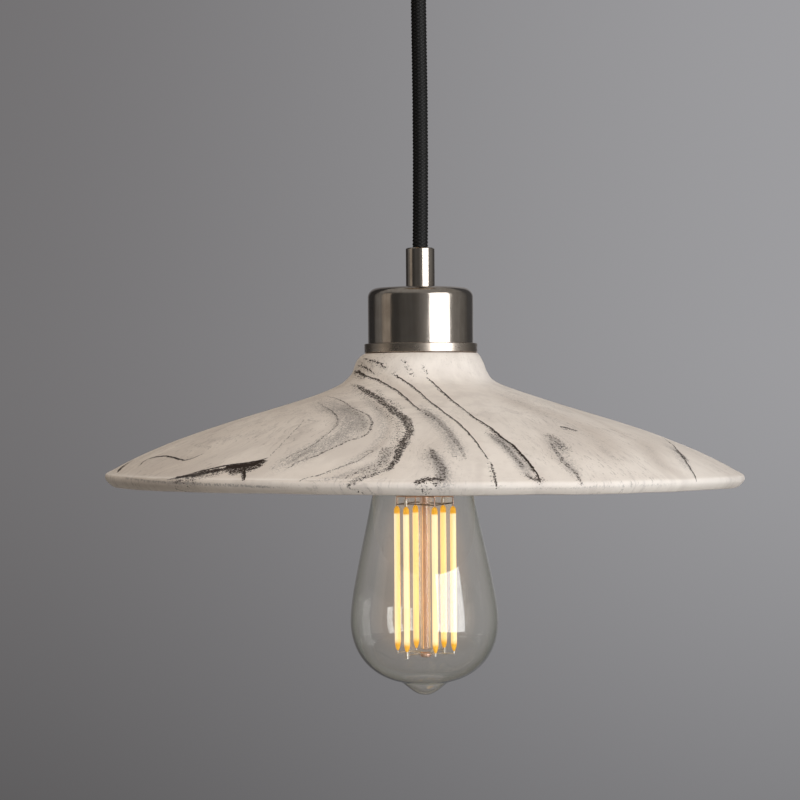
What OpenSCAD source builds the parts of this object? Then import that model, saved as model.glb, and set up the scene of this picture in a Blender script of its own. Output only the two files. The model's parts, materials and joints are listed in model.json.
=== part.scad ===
// Ceramic pendant light: a metal ceiling rose, a taut braided cord, a metal
// lampholder cover over a threaded screw-cap lampholder, a shallow cone shade of
// marbled clay and a long-filament bulb.
// Millimetres. +Z is up. The origin is on the ceiling at the centre of the rose,
// and the light hangs towards -Z.

/* [Ceiling rose] */
// Outer diameter of the rose
rose_d = 100; // [90:1:120]
// Height of the rose below the ceiling
rose_h = 26; // [25:0.5:40]
// Sheet thickness of the rose
rose_wall = 1; // [0.8:0.1:1.4]
// Outside radius of the rose's lower corner
rose_corner_r = 8; // [4:0.5:10]

/* [Ceiling bracket] */
// Sheet thickness of the bracket
bracket_t = 1.5; // [1.2:0.1:2]
// Width of the bracket's strap
strap_w = 14; // [12:0.5:18]
// Distance between the two ceiling screws
ceiling_screw_spacing = 60; // [52:1:66]
// Width of each ceiling screw slot
slot_w = 4.5; // [4:0.1:5.5]
// Length of each ceiling screw slot
slot_l = 12; // [8:0.5:13]
// Diameter of the hole that the house cable comes through
cable_hole_d = 14; // [10:0.5:16]
// Depth of the bracket's two side ears
ear_h = 16; // [15:0.5:20]
// Distance of the side screws below the ceiling
side_screw_drop = 11; // [10:0.5:12]
// Thread diameter of the side screws
side_screw_d = 4; // [3:0.5:5]
// Length of the side screws under the head
side_screw_l = 7; // [6:0.5:9]

/* [Terminals] */
// Width of the terminal block
block_w = 20; // [18:0.5:22]
// Length of the terminal block along its wires
block_l = 16; // [14:0.5:18]
// Height of the terminal block
block_h = 13; // [12:0.5:14]
// Distance between the terminal block's two poles
pole_pitch = 10; // [9:0.5:10.5]
// Edge of the brass terminals
terminal_w = 6; // [5:0.25:6.5]
// Diameter of a core's insulation
core_d = 2.2; // [1.8:0.1:2.4]

/* [Cord and cord grips] */
// Diameter of the braided cord
cord_d = 6.7; // [6:0.1:7]
// Outer diameter of each cord grip
grip_d = 12.6; // [12.2:0.1:15]
// Height of each cord grip
grip_h = 16.5; // [15:0.5:22]
// Outer diameter of the hollow stems
stem_d = 10; // [9.6:0.1:10.4]
// Depth that a stem screws into a cord grip
stem_engage = 7; // [5:0.5:7.5]
// Diameter of the set screw that locks a cord grip
set_screw_d = 3; // [2.5:0.25:3.5]
// Width across flats of the rose's locknut
locknut_af = 14; // [13:0.5:17]
// Thickness of the rose's locknut
locknut_h = 3; // [2:0.5:4]

/* [Lampholder cover] */
// Outer diameter of the cover
cover_d = 45.9; // [45:0.1:48]
// Height of the cover
cover_h = 24.6; // [24:0.2:32]
// Sheet thickness of the cover
cover_wall = 0.9; // [0.6:0.1:1.2]
// Outside radius of the cover's top corner
cover_corner_r = 4; // [2:0.25:6]
// Outer diameter of the ring under the cover
ring_d = 49.1; // [48.2:0.1:52]
// Height of the ring under the cover
ring_h = 4.1; // [3:0.1:6]

/* [Lampholder] */
// Outer diameter of the lampholder's cap
holder_cap_d = 41; // [40.4:0.1:42]
// Height of the lampholder's cap
holder_cap_h = 20; // [18:0.5:22]
// Wall of the lampholder's cap
holder_cap_wall = 1.8; // [1.4:0.1:2]
// Depth of the stem's boss inside the cap
boss_h = 8; // [6:0.5:8.5]
// Outer diameter of the threaded skirt
skirt_d = 38.8; // [38:0.1:40]
// Length of the skirt below the shade's top face
skirt_drop = 32.7; // [30:0.1:34]
// Height of the ceramic insert
insert_h = 17; // [15:0.5:18]
// Outer diameter of the clamping ring under the shade
clamp_ring_d = 46.6; // [45:0.2:47]
// Height of the clamping ring under the shade
clamp_ring_h = 5; // [3:0.5:7]
// Thickness of the two shade gaskets
gasket_t = 0.6; // [0.4:0.1:1]

/* [Ceramic shade] */
// Widest diameter of the shade
shade_d = 276.8; // [240:1:320]
// Height of the shade
shade_h = 58.3; // [54:0.5:66]
// Thickness of the clay
shade_wall = 5; // [4:0.25:5.5]
// Radius of the rolled lip
lip_r = 3.6; // [3:0.2:4.4]
// Slope of the shade just above the lip, in degrees
rim_slope = 29.6; // [25:0.2:34]
// Slope of the shade at the foot of its collar, in degrees
foot_slope = 23.3; // [20:0.1:26]
// Diameter of the collar
collar_d = 57.2; // [56.4:0.2:62]
// Height of the collar's rounded shoulder
collar_h = 7; // [6.6:0.1:9]
// Diameter of the hole for the lampholder
shade_hole_d = 40.4; // [40.2:0.1:41]
// Thickness of the clay where the rings clamp it
seat_t = 6.5; // [5.5:0.25:8]

/* [Bulb] */
// Length of the bulb over its contact and tip
bulb_l = 140; // [136:1:150]
// Widest diameter of the glass
bulb_d = 64.4; // [60:0.2:70]
// Thickness of the glass
glass_t = 0.9; // [0.6:0.1:1.2]
// Outer diameter of the screw cap's thread
cap_thread_d = 26.3; // [25.9:0.1:26.4]
// Pitch of the screw cap's thread
thread_pitch = 3.629; // [3.5:0.01:3.8]
// Depth of the screw cap's thread
thread_depth = 1.1; // [0.8:0.1:1.2]
// Distance from the contact to the lower edge of the screw cap
cap_l = 26.5; // [25.5:0.5:28]
// Running clearance between the two threads
thread_gap = 0.3; // [0.25:0.05:0.4]

/* [Filaments] */
// Number of filaments
filament_n = 6; // [4:1:8]
// Diameter of each filament
filament_d = 2; // [1.6:0.1:2.6]
// Length of each filament
filament_l = 64; // [56:1:66]
// Radius of the circle that the filaments stand on
filament_ring_r = 12.4; // [11:0.2:14]
// Turn of the first filament from the right-hand side, in degrees
filament_turn = 10; // [0:1:30]
// Diameter of the glass tube that carries the filaments
glass_stem_d = 4.4; // [3.8:0.2:6]

/* [Hidden] */
$fn = 96;

// Clearances between pieces that fit each other
fit = 0.05;
seat_gap = 0.15;
turn_gap = 0.3;
cut = 1;

// Colours, as the photograph shows them or as such pieces usually are
nickel = [0.52, 0.49, 0.45];
zinc = [0.62, 0.63, 0.64];
brass = [0.76, 0.62, 0.34];
cream_clay = [0.86, 0.82, 0.76];
black_braid = [0.06, 0.06, 0.07];
nylon = [0.9, 0.9, 0.87];
glass_grey = [0.78, 0.82, 0.82, 0.4];
glow = [1.0, 0.78, 0.4];

// Rose and bracket
rose_r = rose_d / 2;
rose_inner_r = rose_r - rose_wall;
stem_r = stem_d / 2;
stem_hole_r = stem_r + fit;
ear_x = sqrt(pow(rose_inner_r, 2) - pow(strap_w / 2, 2)) - turn_gap;
side_screw_r = side_screw_d / 2;
side_head_r = 1.9 * side_screw_r;
side_head_t = 0.6 * side_screw_d;
plate_w = 30;
plate_l = 24;
block_wing_w = block_w + 2;
block_y = plate_l / 2 + 3;
block_wing_l = block_y + block_l + 2;
earth_wing_w = 12;
earth_y = -plate_l / 2 - 3;
earth_wing_l = -earth_y + terminal_w + 2;

// Terminals
core_r = core_d / 2;
core_hole_r = 1.25;
terminal_h = 7.5;
clamp_r = 2.4;
clamp_hole_r = 1.4;
clamp_z = -bracket_t - block_h * 0.55;
clamp_screw_r = 1.4;
clamp_screw_rise = 2.4;
clamp_screw_at = [0.28, 0.72];
block_screw_r = 1.5;
block_screw_head_r = 2.7;
block_screw_head_t = 1.6;
terminal_screw_r = 1.4;
terminal_head_r = 2.2;
terminal_head_t = 1.4;
earth_hole_drop = 4.5;

// Cord and grips, each grip with its mouth at the cord's end
cord_r = cord_d / 2;
cord_bore_r = cord_r + turn_gap;
rose_base_z = -rose_h;
rose_mouth_z = rose_base_z - grip_h;
cord_points = [[0, 0, 0], [0.2, 0, -25], [0.4, 0, -50], [0.4, 0, -75], [0.2, 0, -100], [0, 0, -114.5]];
cord_end = cord_points[len(cord_points) - 1];
lamp_mouth_z = rose_mouth_z + cord_end[2];
cord_sides = 12;
end_rings = 4;
grip_r = grip_d / 2;
grip_edge = 0.4;
collet_h = 4.6;
collet_top = stem_engage + collet_h + 2 * seat_gap;
collet_r = stem_r - fit;
collet_bore_r = cord_r + fit;
set_screw_r = set_screw_d / 2;
set_screw_z = stem_engage + seat_gap + collet_h / 2;
set_screw_depth = (collet_r - collet_bore_r) * 0.7;
stem_bore_r = cord_r + 0.4;
stem_above_nut = 2;
rose_stem_l = stem_engage + rose_wall + locknut_h + stem_above_nut;
tail_past_stem = 1.5;

// Heights of the lamp, from the top down
cover_top_z = lamp_mouth_z - grip_h;
holder_top_z = cover_top_z - cover_wall;
cover_bottom_z = cover_top_z - cover_h;
ring_bottom_z = cover_bottom_z - ring_h;
shade_top_z = ring_bottom_z - gasket_t;
seat_z = shade_top_z - seat_t;
skirt_bottom_z = shade_top_z - skirt_drop;
lamp_stem_bottom_z = holder_top_z - boss_h;
lamp_stem_l = cover_top_z + stem_engage - lamp_stem_bottom_z;

// Lampholder
holder_cap_r = holder_cap_d / 2;
holder_cap_inner_r = holder_cap_r - holder_cap_wall;
holder_cap_bottom_z = holder_top_z - holder_cap_h;
boss_r = 8;
skirt_r = skirt_d / 2;
spigot_r = min(holder_cap_inner_r - fit, skirt_r - 0.4);
spigot_top_z = holder_cap_bottom_z + 8;
insert_top_z = lamp_stem_bottom_z - 7.5;
insert_bottom_z = insert_top_z - insert_h;
insert_r = spigot_r - 2;
terminal_x = 8;
pocket_depth = 3;
terminal_top_z = insert_top_z - pocket_depth + terminal_h;
core_entry_z = insert_top_z + 2.3;
cap_terminal_y = -12;
cap_terminal_h = 6;
contact_drop = 4;
contact_t = 0.6;
contact_w = 5;
centre_contact_z = insert_bottom_z - contact_drop;
side_contact_r = 12.7;

// Bulb, measured down from the tip of its contact
contact_tip_z = centre_contact_z - turn_gap;
bulb_contact_h = 1.5;
bulb_contact_r = 4.8;
insulator_h = 3.8;
shell_top = bulb_contact_h + insulator_h + fit;
cap_r = cap_thread_d / 2;
thread_mid_r = cap_r - thread_depth / 2;
shell_bore_r = cap_r - thread_depth - 0.4;
shell_collar_h = 3;
insulator_r = shell_bore_r;
thread_columns = 24;
thread_rows_per_pitch = 6;
neck_r = shell_bore_r - fit;
neck_top = cap_l - 7;
bulb_r = bulb_d / 2;
socket_thread_top_z = contact_tip_z - shell_top;
socket_wide_r = cap_r + 0.75;
side_contact_bottom_z = socket_thread_top_z + turn_gap;

// Shape of the glass, as distances below the contact's tip
shoulder_r = 0.705 * bulb_r;
shoulder_at = bulb_l * 0.398;
belly_at = bulb_l * 0.771;
tip_r = 9.6;
tip_h = 5.4;

// Shade, as a depth below its top face
shade_r = shade_d / 2;
collar_r = collar_d / 2;
collar_top_r = collar_r - 4;
foot_reach = 7.5;
foot_drop = 7;
clamp_ring_r = clamp_ring_d / 2;
pocket_r = clamp_ring_r + 0.6;
shade_hole_r = shade_hole_d / 2;
lip_centre = [shade_r - lip_r, shade_h - lip_r];
rim_point = lip_centre + lip_r * [sin(rim_slope), -cos(rim_slope)];
foot_point = [collar_r + foot_reach, collar_h + foot_drop];
slope_span = rim_point[0] - foot_point[0];
foot_pull = 0.265 * slope_span;
rim_pull = 0.413 * slope_span;
slope_curve = [
  foot_point,
  foot_point + foot_pull * [cos(foot_slope), sin(foot_slope)],
  rim_point - rim_pull * [cos(rim_slope), sin(rim_slope)],
  rim_point
];

// Filaments and what carries them, below the contact's tip
filament_room = 12.6;
filament_end = bulb_l - tip_h - filament_room;
filament_top = filament_end - filament_l;
wire_r = 0.35;
support_gap = 1;
stem_tube_r = glass_stem_d / 2;
stem_flare_at = cap_l + 4;
hub_r = stem_tube_r + 0.3;
hub_h = 2;
stem_end = filament_end + support_gap - hub_h / 2;

function bezier(c, t) =
  pow(1 - t, 3) * c[0] + 3 * pow(1 - t, 2) * t * c[1] + 3 * (1 - t) * t * t * c[2] + pow(t, 3) * c[3];
function bezier_slope(c, t) =
  3 * pow(1 - t, 2) * (c[1] - c[0]) + 6 * (1 - t) * t * (c[2] - c[1]) + 3 * t * t * (c[3] - c[2]);
function curve(c, n, first = 0) = [for (i = [first : n]) bezier(c, i / n)];
// A curve parallel to a Bezier curve, on the side that its direction turned a quarter gives
function beside(c, t, gap) =
  let (d = bezier_slope(c, t), u = d / norm(d)) bezier(c, t) + gap * [-u[1], u[0]];
function arc(centre, r, a0, a1, n) =
  [for (i = [0 : n]) let (a = a0 + (a1 - a0) * i / n) centre + r * [cos(a), sin(a)]];
// Turns [radius, depth] points into [radius, z] points below a level
function hang(points, z) = [for (p = points) [p[0], z - p[1]]];

// A round tube swept along points, one radius for each point
function unit(v) = v / norm(v);
function heading(path, i) =
  unit(path[min(i + 1, len(path) - 1)] - path[max(i - 1, 0)]);
function tube_points(path, radii, sides, side_axis) = [
  for (i = [0 : len(path) - 1])
    let (t = heading(path, i), u = unit(cross(t, side_axis)), v = cross(t, u))
      for (k = [0 : sides - 1])
        let (a = 360 * (k + 0.5) / sides) path[i] + radii[i] * (cos(a) * u + sin(a) * v)
];
function tube_faces(rings, sides) = concat(
  [for (i = [0 : rings - 2], k = [0 : sides - 1]) let (n = (k + 1) % sides)
    [i * sides + k, (i + 1) * sides + k, i * sides + n]],
  [for (i = [0 : rings - 2], k = [0 : sides - 1]) let (n = (k + 1) % sides)
    [i * sides + n, (i + 1) * sides + k, (i + 1) * sides + n]],
  [[for (k = [0 : sides - 1]) k]],
  [[for (k = [sides - 1 : -1 : 0]) (rings - 1) * sides + k]]
);
module tube(path, radii, sides, side_axis) {
  polyhedron(tube_points(path, radii, sides, side_axis), tube_faces(len(path), sides));
}

// A core of the cord along hand-placed points
module core(path, side_axis) {
  tube(path, [for (p = path) core_r], 8, side_axis);
}

// A drawn metal cup with its open rim at z = 0 and its floor at z = -h
module cup(r, h, wall, corner, hole_r) {
  inner_corner = max(corner - wall, 0.2);
  rotate_extrude()
    polygon(concat(
      [[r, 0]],
      arc([r - corner, corner - h], corner, 0, -90, 8),
      [[hole_r, -h], [hole_r, wall - h]],
      arc([r - wall - inner_corner, wall + inner_corner - h], inner_corner, -90, 0, 8),
      [[r - wall, 0]]
    ));
}

// A round surface with a screw thread, as a solid from z_low to z_high
module threaded_core(mid_r, depth, z_low, z_high, phase_z, plain_below) {
  rows = ceil((z_high - z_low) / thread_pitch * thread_rows_per_pitch);
  step = (z_high - z_low) / rows;
  points = [
    for (i = [0 : rows], k = [0 : thread_columns - 1])
      let (z = z_low + i * step, a = 360 * k / thread_columns)
        let (wave = z < plain_below ? 1 : cos(360 * (z - phase_z) / thread_pitch - a))
          let (r = mid_r + depth / 2 * wave) [r * cos(a), r * sin(a), z]
  ];
  polyhedron(points, tube_faces(rows + 1, thread_columns));
}

// A screw along +Z, its head's flat face at z = 0 and its shank below
module slotted_screw(shank_r, shank_l, head_r, head_t) {
  slot = 0.25 * head_r;
  difference() {
    union() {
      cylinder(r = head_r, h = head_t);
      translate([0, 0, -shank_l]) cylinder(r = shank_r, h = shank_l + head_t / 2);
    }
    translate([-head_r - cut, -slot, head_t * 0.5]) cube([2 * head_r + 2 * cut, 2 * slot, head_t]);
  }
}

// A cord grip with its base at z = 0 and its mouth at z = grip_h
module cord_grip() {
  difference() {
    rotate_extrude()
      polygon([
        [stem_hole_r, 0], [grip_r, 0], [grip_r, grip_h - grip_edge], [grip_r - grip_edge, grip_h],
        [cord_bore_r, grip_h], [cord_bore_r, collet_top], [stem_hole_r, collet_top]
      ]);
    translate([0, 0, set_screw_z]) rotate([-90, 0, 0])
      cylinder(r = set_screw_r + fit, h = grip_r + cut);
  }
}

module grip_collet() {
  difference() {
    translate([0, 0, stem_engage + seat_gap]) cylinder(r = collet_r, h = collet_h);
    cylinder(r = collet_bore_r, h = grip_h);
    translate([0, collet_r - set_screw_depth, set_screw_z]) rotate([-90, 0, 0])
      cylinder(r = set_screw_r + fit, h = grip_r);
  }
}

module grip_set_screw() {
  start = collet_r - set_screw_depth + fit;
  difference() {
    translate([0, start, set_screw_z]) rotate([-90, 0, 0])
      cylinder(r = set_screw_r, h = grip_r - 0.2 - start);
    translate([-0.3, grip_r - 0.8, set_screw_z - set_screw_r]) cube([0.6, cut, 2 * set_screw_r]);
  }
}

module hollow_stem(length) {
  difference() {
    cylinder(r = stem_r, h = length);
    translate([0, 0, -cut]) cylinder(r = stem_bore_r, h = length + 2 * cut);
  }
}

// The end of the cord that stays in a grip: a hollow cup faces the free cord's round end
module cord_tail(length) {
  difference() {
    translate([0, 0, -length]) cylinder(r = cord_r, h = length);
    sphere(r = cord_bore_r);
  }
}

module at_rose_grip() {
  translate([0, 0, rose_base_z]) mirror([0, 0, 1]) children();
}

module at_lamp_grip() {
  translate([0, 0, cover_top_z]) children();
}

// Ceiling rose
module canopy_cup() {
  color(nickel)
    difference() {
      cup(rose_r, rose_h, rose_wall, rose_corner_r, stem_hole_r);
      for (side = [0, 180])
        rotate([0, 0, side]) translate([rose_inner_r - cut, 0, -side_screw_drop]) rotate([0, 90, 0])
          cylinder(r = side_screw_r + fit, h = rose_wall + 2 * cut);
    }
}

module slot_hole() {
  reach = (slot_l - slot_w) / 2;
  for (x = [-reach, reach])
    translate([x, 0, -bracket_t - cut]) cylinder(d = slot_w, h = bracket_t + 2 * cut);
  translate([-reach, -slot_w / 2, -bracket_t - cut]) cube([2 * reach, slot_w, bracket_t + 2 * cut]);
}

module ceiling_bracket() {
  color(zinc)
    difference() {
      union() {
        translate([-ear_x, -strap_w / 2, -bracket_t]) cube([2 * ear_x, strap_w, bracket_t]);
        translate([-plate_w / 2, -plate_l / 2, -bracket_t]) cube([plate_w, plate_l, bracket_t]);
        translate([-block_wing_w / 2, 0, -bracket_t]) cube([block_wing_w, block_wing_l, bracket_t]);
        translate([-earth_wing_w / 2, -earth_wing_l, -bracket_t])
          cube([earth_wing_w, earth_wing_l, bracket_t]);
        for (side = [0, 180])
          rotate([0, 0, side]) translate([ear_x - bracket_t, -strap_w / 2, -ear_h])
            cube([bracket_t, strap_w, ear_h]);
      }
      for (side = [0, 180])
        rotate([0, 0, side]) {
          translate([ceiling_screw_spacing / 2, 0, 0]) slot_hole();
          translate([ear_x - bracket_t - cut, 0, -side_screw_drop]) rotate([0, 90, 0])
            cylinder(r = side_screw_r + fit, h = bracket_t + 2 * cut);
        }
      translate([0, 0, -bracket_t - cut]) cylinder(d = cable_hole_d, h = bracket_t + 2 * cut);
      translate([0, block_y + block_l / 2, -bracket_t - cut])
        cylinder(r = block_screw_r + fit, h = bracket_t + 2 * cut);
    }
}

module canopy_side_screws() {
  color(nickel)
    for (side = [0, 180])
      rotate([0, 0, side]) translate([rose_r + fit, 0, -side_screw_drop]) rotate([0, 90, 0])
        slotted_screw(side_screw_r, side_screw_l, side_head_r, side_head_t);
}

// Terminal block on the bracket, its two poles open towards the cord
module terminal_block() {
  color(nylon)
    difference() {
      translate([-block_w / 2, block_y, -bracket_t - block_h]) cube([block_w, block_l, block_h]);
      for (x = [-pole_pitch / 2, pole_pitch / 2])
        translate([x, block_y - cut, clamp_z]) rotate([-90, 0, 0])
          cylinder(r = clamp_r + fit, h = block_l + 2 * cut);
      for (x = [-pole_pitch / 2, pole_pitch / 2], y = clamp_screw_at)
        translate([x, block_y + y * block_l, -bracket_t - block_h - cut])
          cylinder(r = clamp_screw_r + 0.4, h = block_h + bracket_t + clamp_z + cut);
      translate([0, block_y + block_l / 2, -bracket_t - block_h - cut])
        cylinder(r = block_screw_r + fit, h = block_h + 2 * cut);
      translate([0, block_y + block_l / 2, -bracket_t - block_h - cut])
        cylinder(r = block_screw_head_r, h = block_screw_head_t + cut);
    }
}

module terminal_clamps() {
  inset = 1;
  color(brass)
    for (x = [-pole_pitch / 2, pole_pitch / 2])
      difference() {
        translate([x, block_y + inset, clamp_z]) rotate([-90, 0, 0])
          cylinder(r = clamp_r, h = block_l - 2 * inset);
        translate([x, block_y, clamp_z]) rotate([-90, 0, 0]) cylinder(r = clamp_hole_r, h = block_l);
        for (y = clamp_screw_at)
          translate([x, block_y + y * block_l, clamp_z - clamp_r - cut])
            cylinder(r = clamp_screw_r + fit, h = clamp_r + cut);
      }
}

module terminal_screws() {
  color(brass)
    for (x = [-pole_pitch / 2, pole_pitch / 2], y = clamp_screw_at)
      translate([x, block_y + y * block_l, clamp_z - clamp_r - clamp_screw_rise]) {
        difference() {
          cylinder(r = clamp_screw_r, h = clamp_screw_rise + clamp_r - core_r - fit);
          translate([-clamp_screw_r, -0.3, -cut]) cube([2 * clamp_screw_r, 0.6, cut + 0.7]);
        }
      }
}

module block_fixing_screw() {
  color(zinc)
    translate([0, block_y + block_l / 2, -bracket_t - block_h + block_screw_head_t]) mirror([0, 0, 1])
      slotted_screw(block_screw_r, block_h + bracket_t - block_screw_head_t - 0.3, block_screw_head_r - 0.2,
        block_screw_head_t - 0.2);
}

// Earth terminal under the bracket's short wing
module bracket_earth_terminal() {
  color(brass)
    difference() {
      translate([-terminal_w / 2, earth_y - terminal_w, -bracket_t - terminal_h])
        cube([terminal_w, terminal_w, terminal_h]);
      translate([0, earth_y - terminal_w - cut, -bracket_t - earth_hole_drop]) rotate([-90, 0, 0])
        cylinder(r = core_hole_r, h = terminal_w + 2 * cut);
      translate([0, earth_y - terminal_w / 2, -bracket_t - terminal_h - cut])
        cylinder(r = terminal_screw_r + fit, h = terminal_h - earth_hole_drop + cut);
    }
}

module bracket_earth_screw() {
  color(brass)
    translate([0, earth_y - terminal_w / 2, -bracket_t - terminal_h]) mirror([0, 0, 1])
      slotted_screw(terminal_screw_r, terminal_h - earth_hole_drop - core_r - fit,
        terminal_head_r, terminal_head_t);
}

// Grip of the ceiling end
module rose_cord_grip() {
  color(nickel) at_rose_grip() cord_grip();
}

module rose_grip_stem() {
  color(zinc) translate([0, 0, rose_base_z - stem_engage]) hollow_stem(rose_stem_l);
}

module rose_locknut() {
  color(zinc)
    translate([0, 0, rose_base_z + rose_wall])
      difference() {
        cylinder(d = locknut_af / cos(30), h = locknut_h, $fn = 6);
        translate([0, 0, -cut]) cylinder(r = stem_hole_r, h = locknut_h + 2 * cut);
      }
}

module rose_grip_collet() {
  color(nylon) at_rose_grip() grip_collet();
}

module rose_grip_screw() {
  color(zinc) at_rose_grip() grip_set_screw();
}

rose_stem_top_z = rose_base_z - stem_engage + rose_stem_l;
rose_tail_top_z = rose_stem_top_z + tail_past_stem;
module rose_cord_tail() {
  color(black_braid)
    translate([0, 0, rose_mouth_z]) mirror([0, 0, 1]) cord_tail(rose_tail_top_z - rose_mouth_z);
}

// The three cores of the ceiling end, from the tail's cut end to their terminals
core_spread = 0.48 * cord_r;
rise = clamp_z - rose_tail_top_z;
function rose_line_core(side) = [
  [side * core_spread, 0.5 * core_spread, rose_tail_top_z],
  [side * core_spread, 0.5 * core_spread, rose_tail_top_z + 0.1 * rise],
  [side * (core_spread + 0.2), 0.6 * core_spread, rose_tail_top_z + 0.25 * rise],
  [side * (core_spread + 0.8), 0.16 * block_y, rose_tail_top_z + 0.55 * rise],
  [side * (0.5 * core_spread + 0.3 * pole_pitch), 0.36 * block_y, rose_tail_top_z + 0.85 * rise],
  [side * (0.2 * core_spread + 0.42 * pole_pitch), 0.62 * block_y, clamp_z - 0.1],
  [side * pole_pitch / 2, 0.85 * block_y, clamp_z],
  [side * pole_pitch / 2, block_y + 0.5 * block_l, clamp_z]
];
module rose_live_core() {
  color("saddlebrown") core(rose_line_core(1), [1, 0, 0]);
}

module rose_neutral_core() {
  color("steelblue") core(rose_line_core(-1), [1, 0, 0]);
}

earth_core_z = -bracket_t - earth_hole_drop;
earth_rise = earth_core_z - rose_tail_top_z;
module rose_earth_core() {
  color("yellowgreen")
    core([
      [0, -core_spread, rose_tail_top_z],
      [0, -core_spread, rose_tail_top_z + 0.1 * earth_rise],
      [0, -core_spread - 0.3, rose_tail_top_z + 0.3 * earth_rise],
      [0, 0.3 * earth_y, rose_tail_top_z + 0.6 * earth_rise],
      [0, 0.55 * earth_y, rose_tail_top_z + 0.88 * earth_rise],
      [0, 0.8 * earth_y, earth_core_z - 0.1],
      [0, earth_y, earth_core_z],
      [0, earth_y - 0.8 * terminal_w, earth_core_z]
    ], [1, 0, 0]);
}

// Free cord between the two grips, round at both ends so that it can swing in their mouths
function cord_path() = let (
    top = [for (i = [0 : end_rings - 1]) cord_points[0] + [0, 0, cord_r * cos(90 * (i + 0.35) / end_rings)]],
    low = [for (i = [end_rings - 1 : -1 : 0]) cord_end - [0, 0, cord_r * cos(90 * (i + 0.35) / end_rings)]]
  ) concat(top, cord_points, low);
function cord_radii() = let (
    ends = [for (i = [0 : end_rings - 1]) cord_r * sin(90 * (i + 0.35) / end_rings)]
  ) concat(ends, [for (p = cord_points) cord_r], [for (i = [end_rings - 1 : -1 : 0]) ends[i]]);
module cord() {
  color(black_braid)
    translate([0, 0, rose_mouth_z]) tube(cord_path(), cord_radii(), cord_sides, [1, 0, 0]);
}

// Grip of the lamp end
module lamp_cord_grip() {
  color(nickel) at_lamp_grip() cord_grip();
}

module lamp_grip_stem() {
  color(zinc) translate([0, 0, lamp_stem_bottom_z]) hollow_stem(lamp_stem_l);
}

module lamp_grip_collet() {
  color(nylon) at_lamp_grip() grip_collet();
}

module lamp_grip_screw() {
  color(zinc) at_lamp_grip() grip_set_screw();
}

lamp_tail_bottom_z = lamp_stem_bottom_z - tail_past_stem / 2;
module lamp_cord_tail() {
  color(black_braid)
    translate([0, 0, lamp_mouth_z]) cord_tail(lamp_mouth_z - lamp_tail_bottom_z);
}

// The three cores of the lamp end
fall = lamp_tail_bottom_z - core_entry_z;
block_face_x = terminal_x - terminal_w / 2;
function lamp_line_core(side) = [
  [side * core_spread, 0, lamp_tail_bottom_z],
  [side * core_spread, 0, lamp_tail_bottom_z - 0.3 * fall],
  [side * (core_spread + 0.9), 0, lamp_tail_bottom_z - 0.8 * fall],
  [side * (core_spread + 2.3), 0, core_entry_z],
  [side * (block_face_x + 0.6), 0, core_entry_z],
  [side * terminal_x, 0, core_entry_z]
];
module lamp_live_core() {
  color("saddlebrown") core(lamp_line_core(1), [0, 1, 0]);
}

module lamp_neutral_core() {
  color("steelblue") core(lamp_line_core(-1), [0, 1, 0]);
}

cap_ceiling_z = holder_top_z - holder_cap_wall;
cap_core_z = cap_ceiling_z - cap_terminal_h / 2;
under_boss_z = lamp_stem_bottom_z - core_r - 1.9;
module lamp_earth_core() {
  color("yellowgreen")
    core([
      [0, -core_spread, lamp_tail_bottom_z],
      [0, -core_spread, lamp_tail_bottom_z - 0.6],
      [0, -core_spread - 0.9, under_boss_z + 0.5],
      [0, -core_spread - 2.6, under_boss_z],
      [0, -boss_r + 0.8, under_boss_z],
      [0, -boss_r - 1.1, under_boss_z + 1.6],
      [0, 0.5 * (cap_terminal_y - boss_r) - 0.1, cap_core_z - 1.2],
      [0, cap_terminal_y - 0.4, cap_core_z],
      [0, cap_terminal_y - 3, cap_core_z]
    ], [1, 0, 0]);
}

// Cover and the ring that it stands on
module lampholder_cover() {
  color(nickel)
    translate([0, 0, cover_bottom_z]) mirror([0, 0, 1])
      cup(cover_d / 2, cover_h, cover_wall, cover_corner_r, stem_hole_r);
}

module screwed_ring(r, h, edge) {
  rotate_extrude()
    polygon([
      [skirt_r + fit, 0], [r - edge, 0], [r, edge], [r, h - edge], [r - edge, h], [skirt_r + fit, h]
    ]);
}

module cover_ring() {
  color(nickel) translate([0, 0, ring_bottom_z]) screwed_ring(ring_d / 2, ring_h, 0.35);
}

// Lampholder: cap, earth terminal, ceramic insert with its contacts, and threaded skirt
module holder_cap() {
  color(zinc)
    difference() {
      union() {
        translate([0, 0, holder_cap_bottom_z]) mirror([0, 0, 1])
          cup(holder_cap_r, holder_cap_h, holder_cap_wall, 2.5, stem_hole_r);
        translate([0, 0, lamp_stem_bottom_z]) cylinder(r = boss_r, h = boss_h - holder_cap_wall / 2);
      }
      translate([0, 0, lamp_stem_bottom_z - cut]) cylinder(r = stem_hole_r, h = boss_h + 2 * cut);
    }
}

module holder_earth_terminal() {
  depth = 5;
  color(brass)
    difference() {
      translate([-terminal_w / 2, cap_terminal_y - depth, cap_ceiling_z - cap_terminal_h])
        cube([terminal_w, depth, cap_terminal_h]);
      translate([0, cap_terminal_y - depth - cut, cap_core_z]) rotate([-90, 0, 0])
        cylinder(r = core_hole_r, h = depth + 2 * cut);
    }
}

module terminal_pocket(grow) {
  translate([terminal_x - terminal_w / 2 - grow, -terminal_w / 2 - grow, insert_top_z - pocket_depth])
    cube([terminal_w + 2 * grow, terminal_w + 2 * grow, terminal_h]);
}

module holder_insert() {
  color(nylon)
    difference() {
      translate([0, 0, insert_bottom_z]) cylinder(r = insert_r, h = insert_h);
      for (side = [0, 180])
        rotate([0, 0, side]) terminal_pocket(seat_gap);
    }
}

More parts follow.
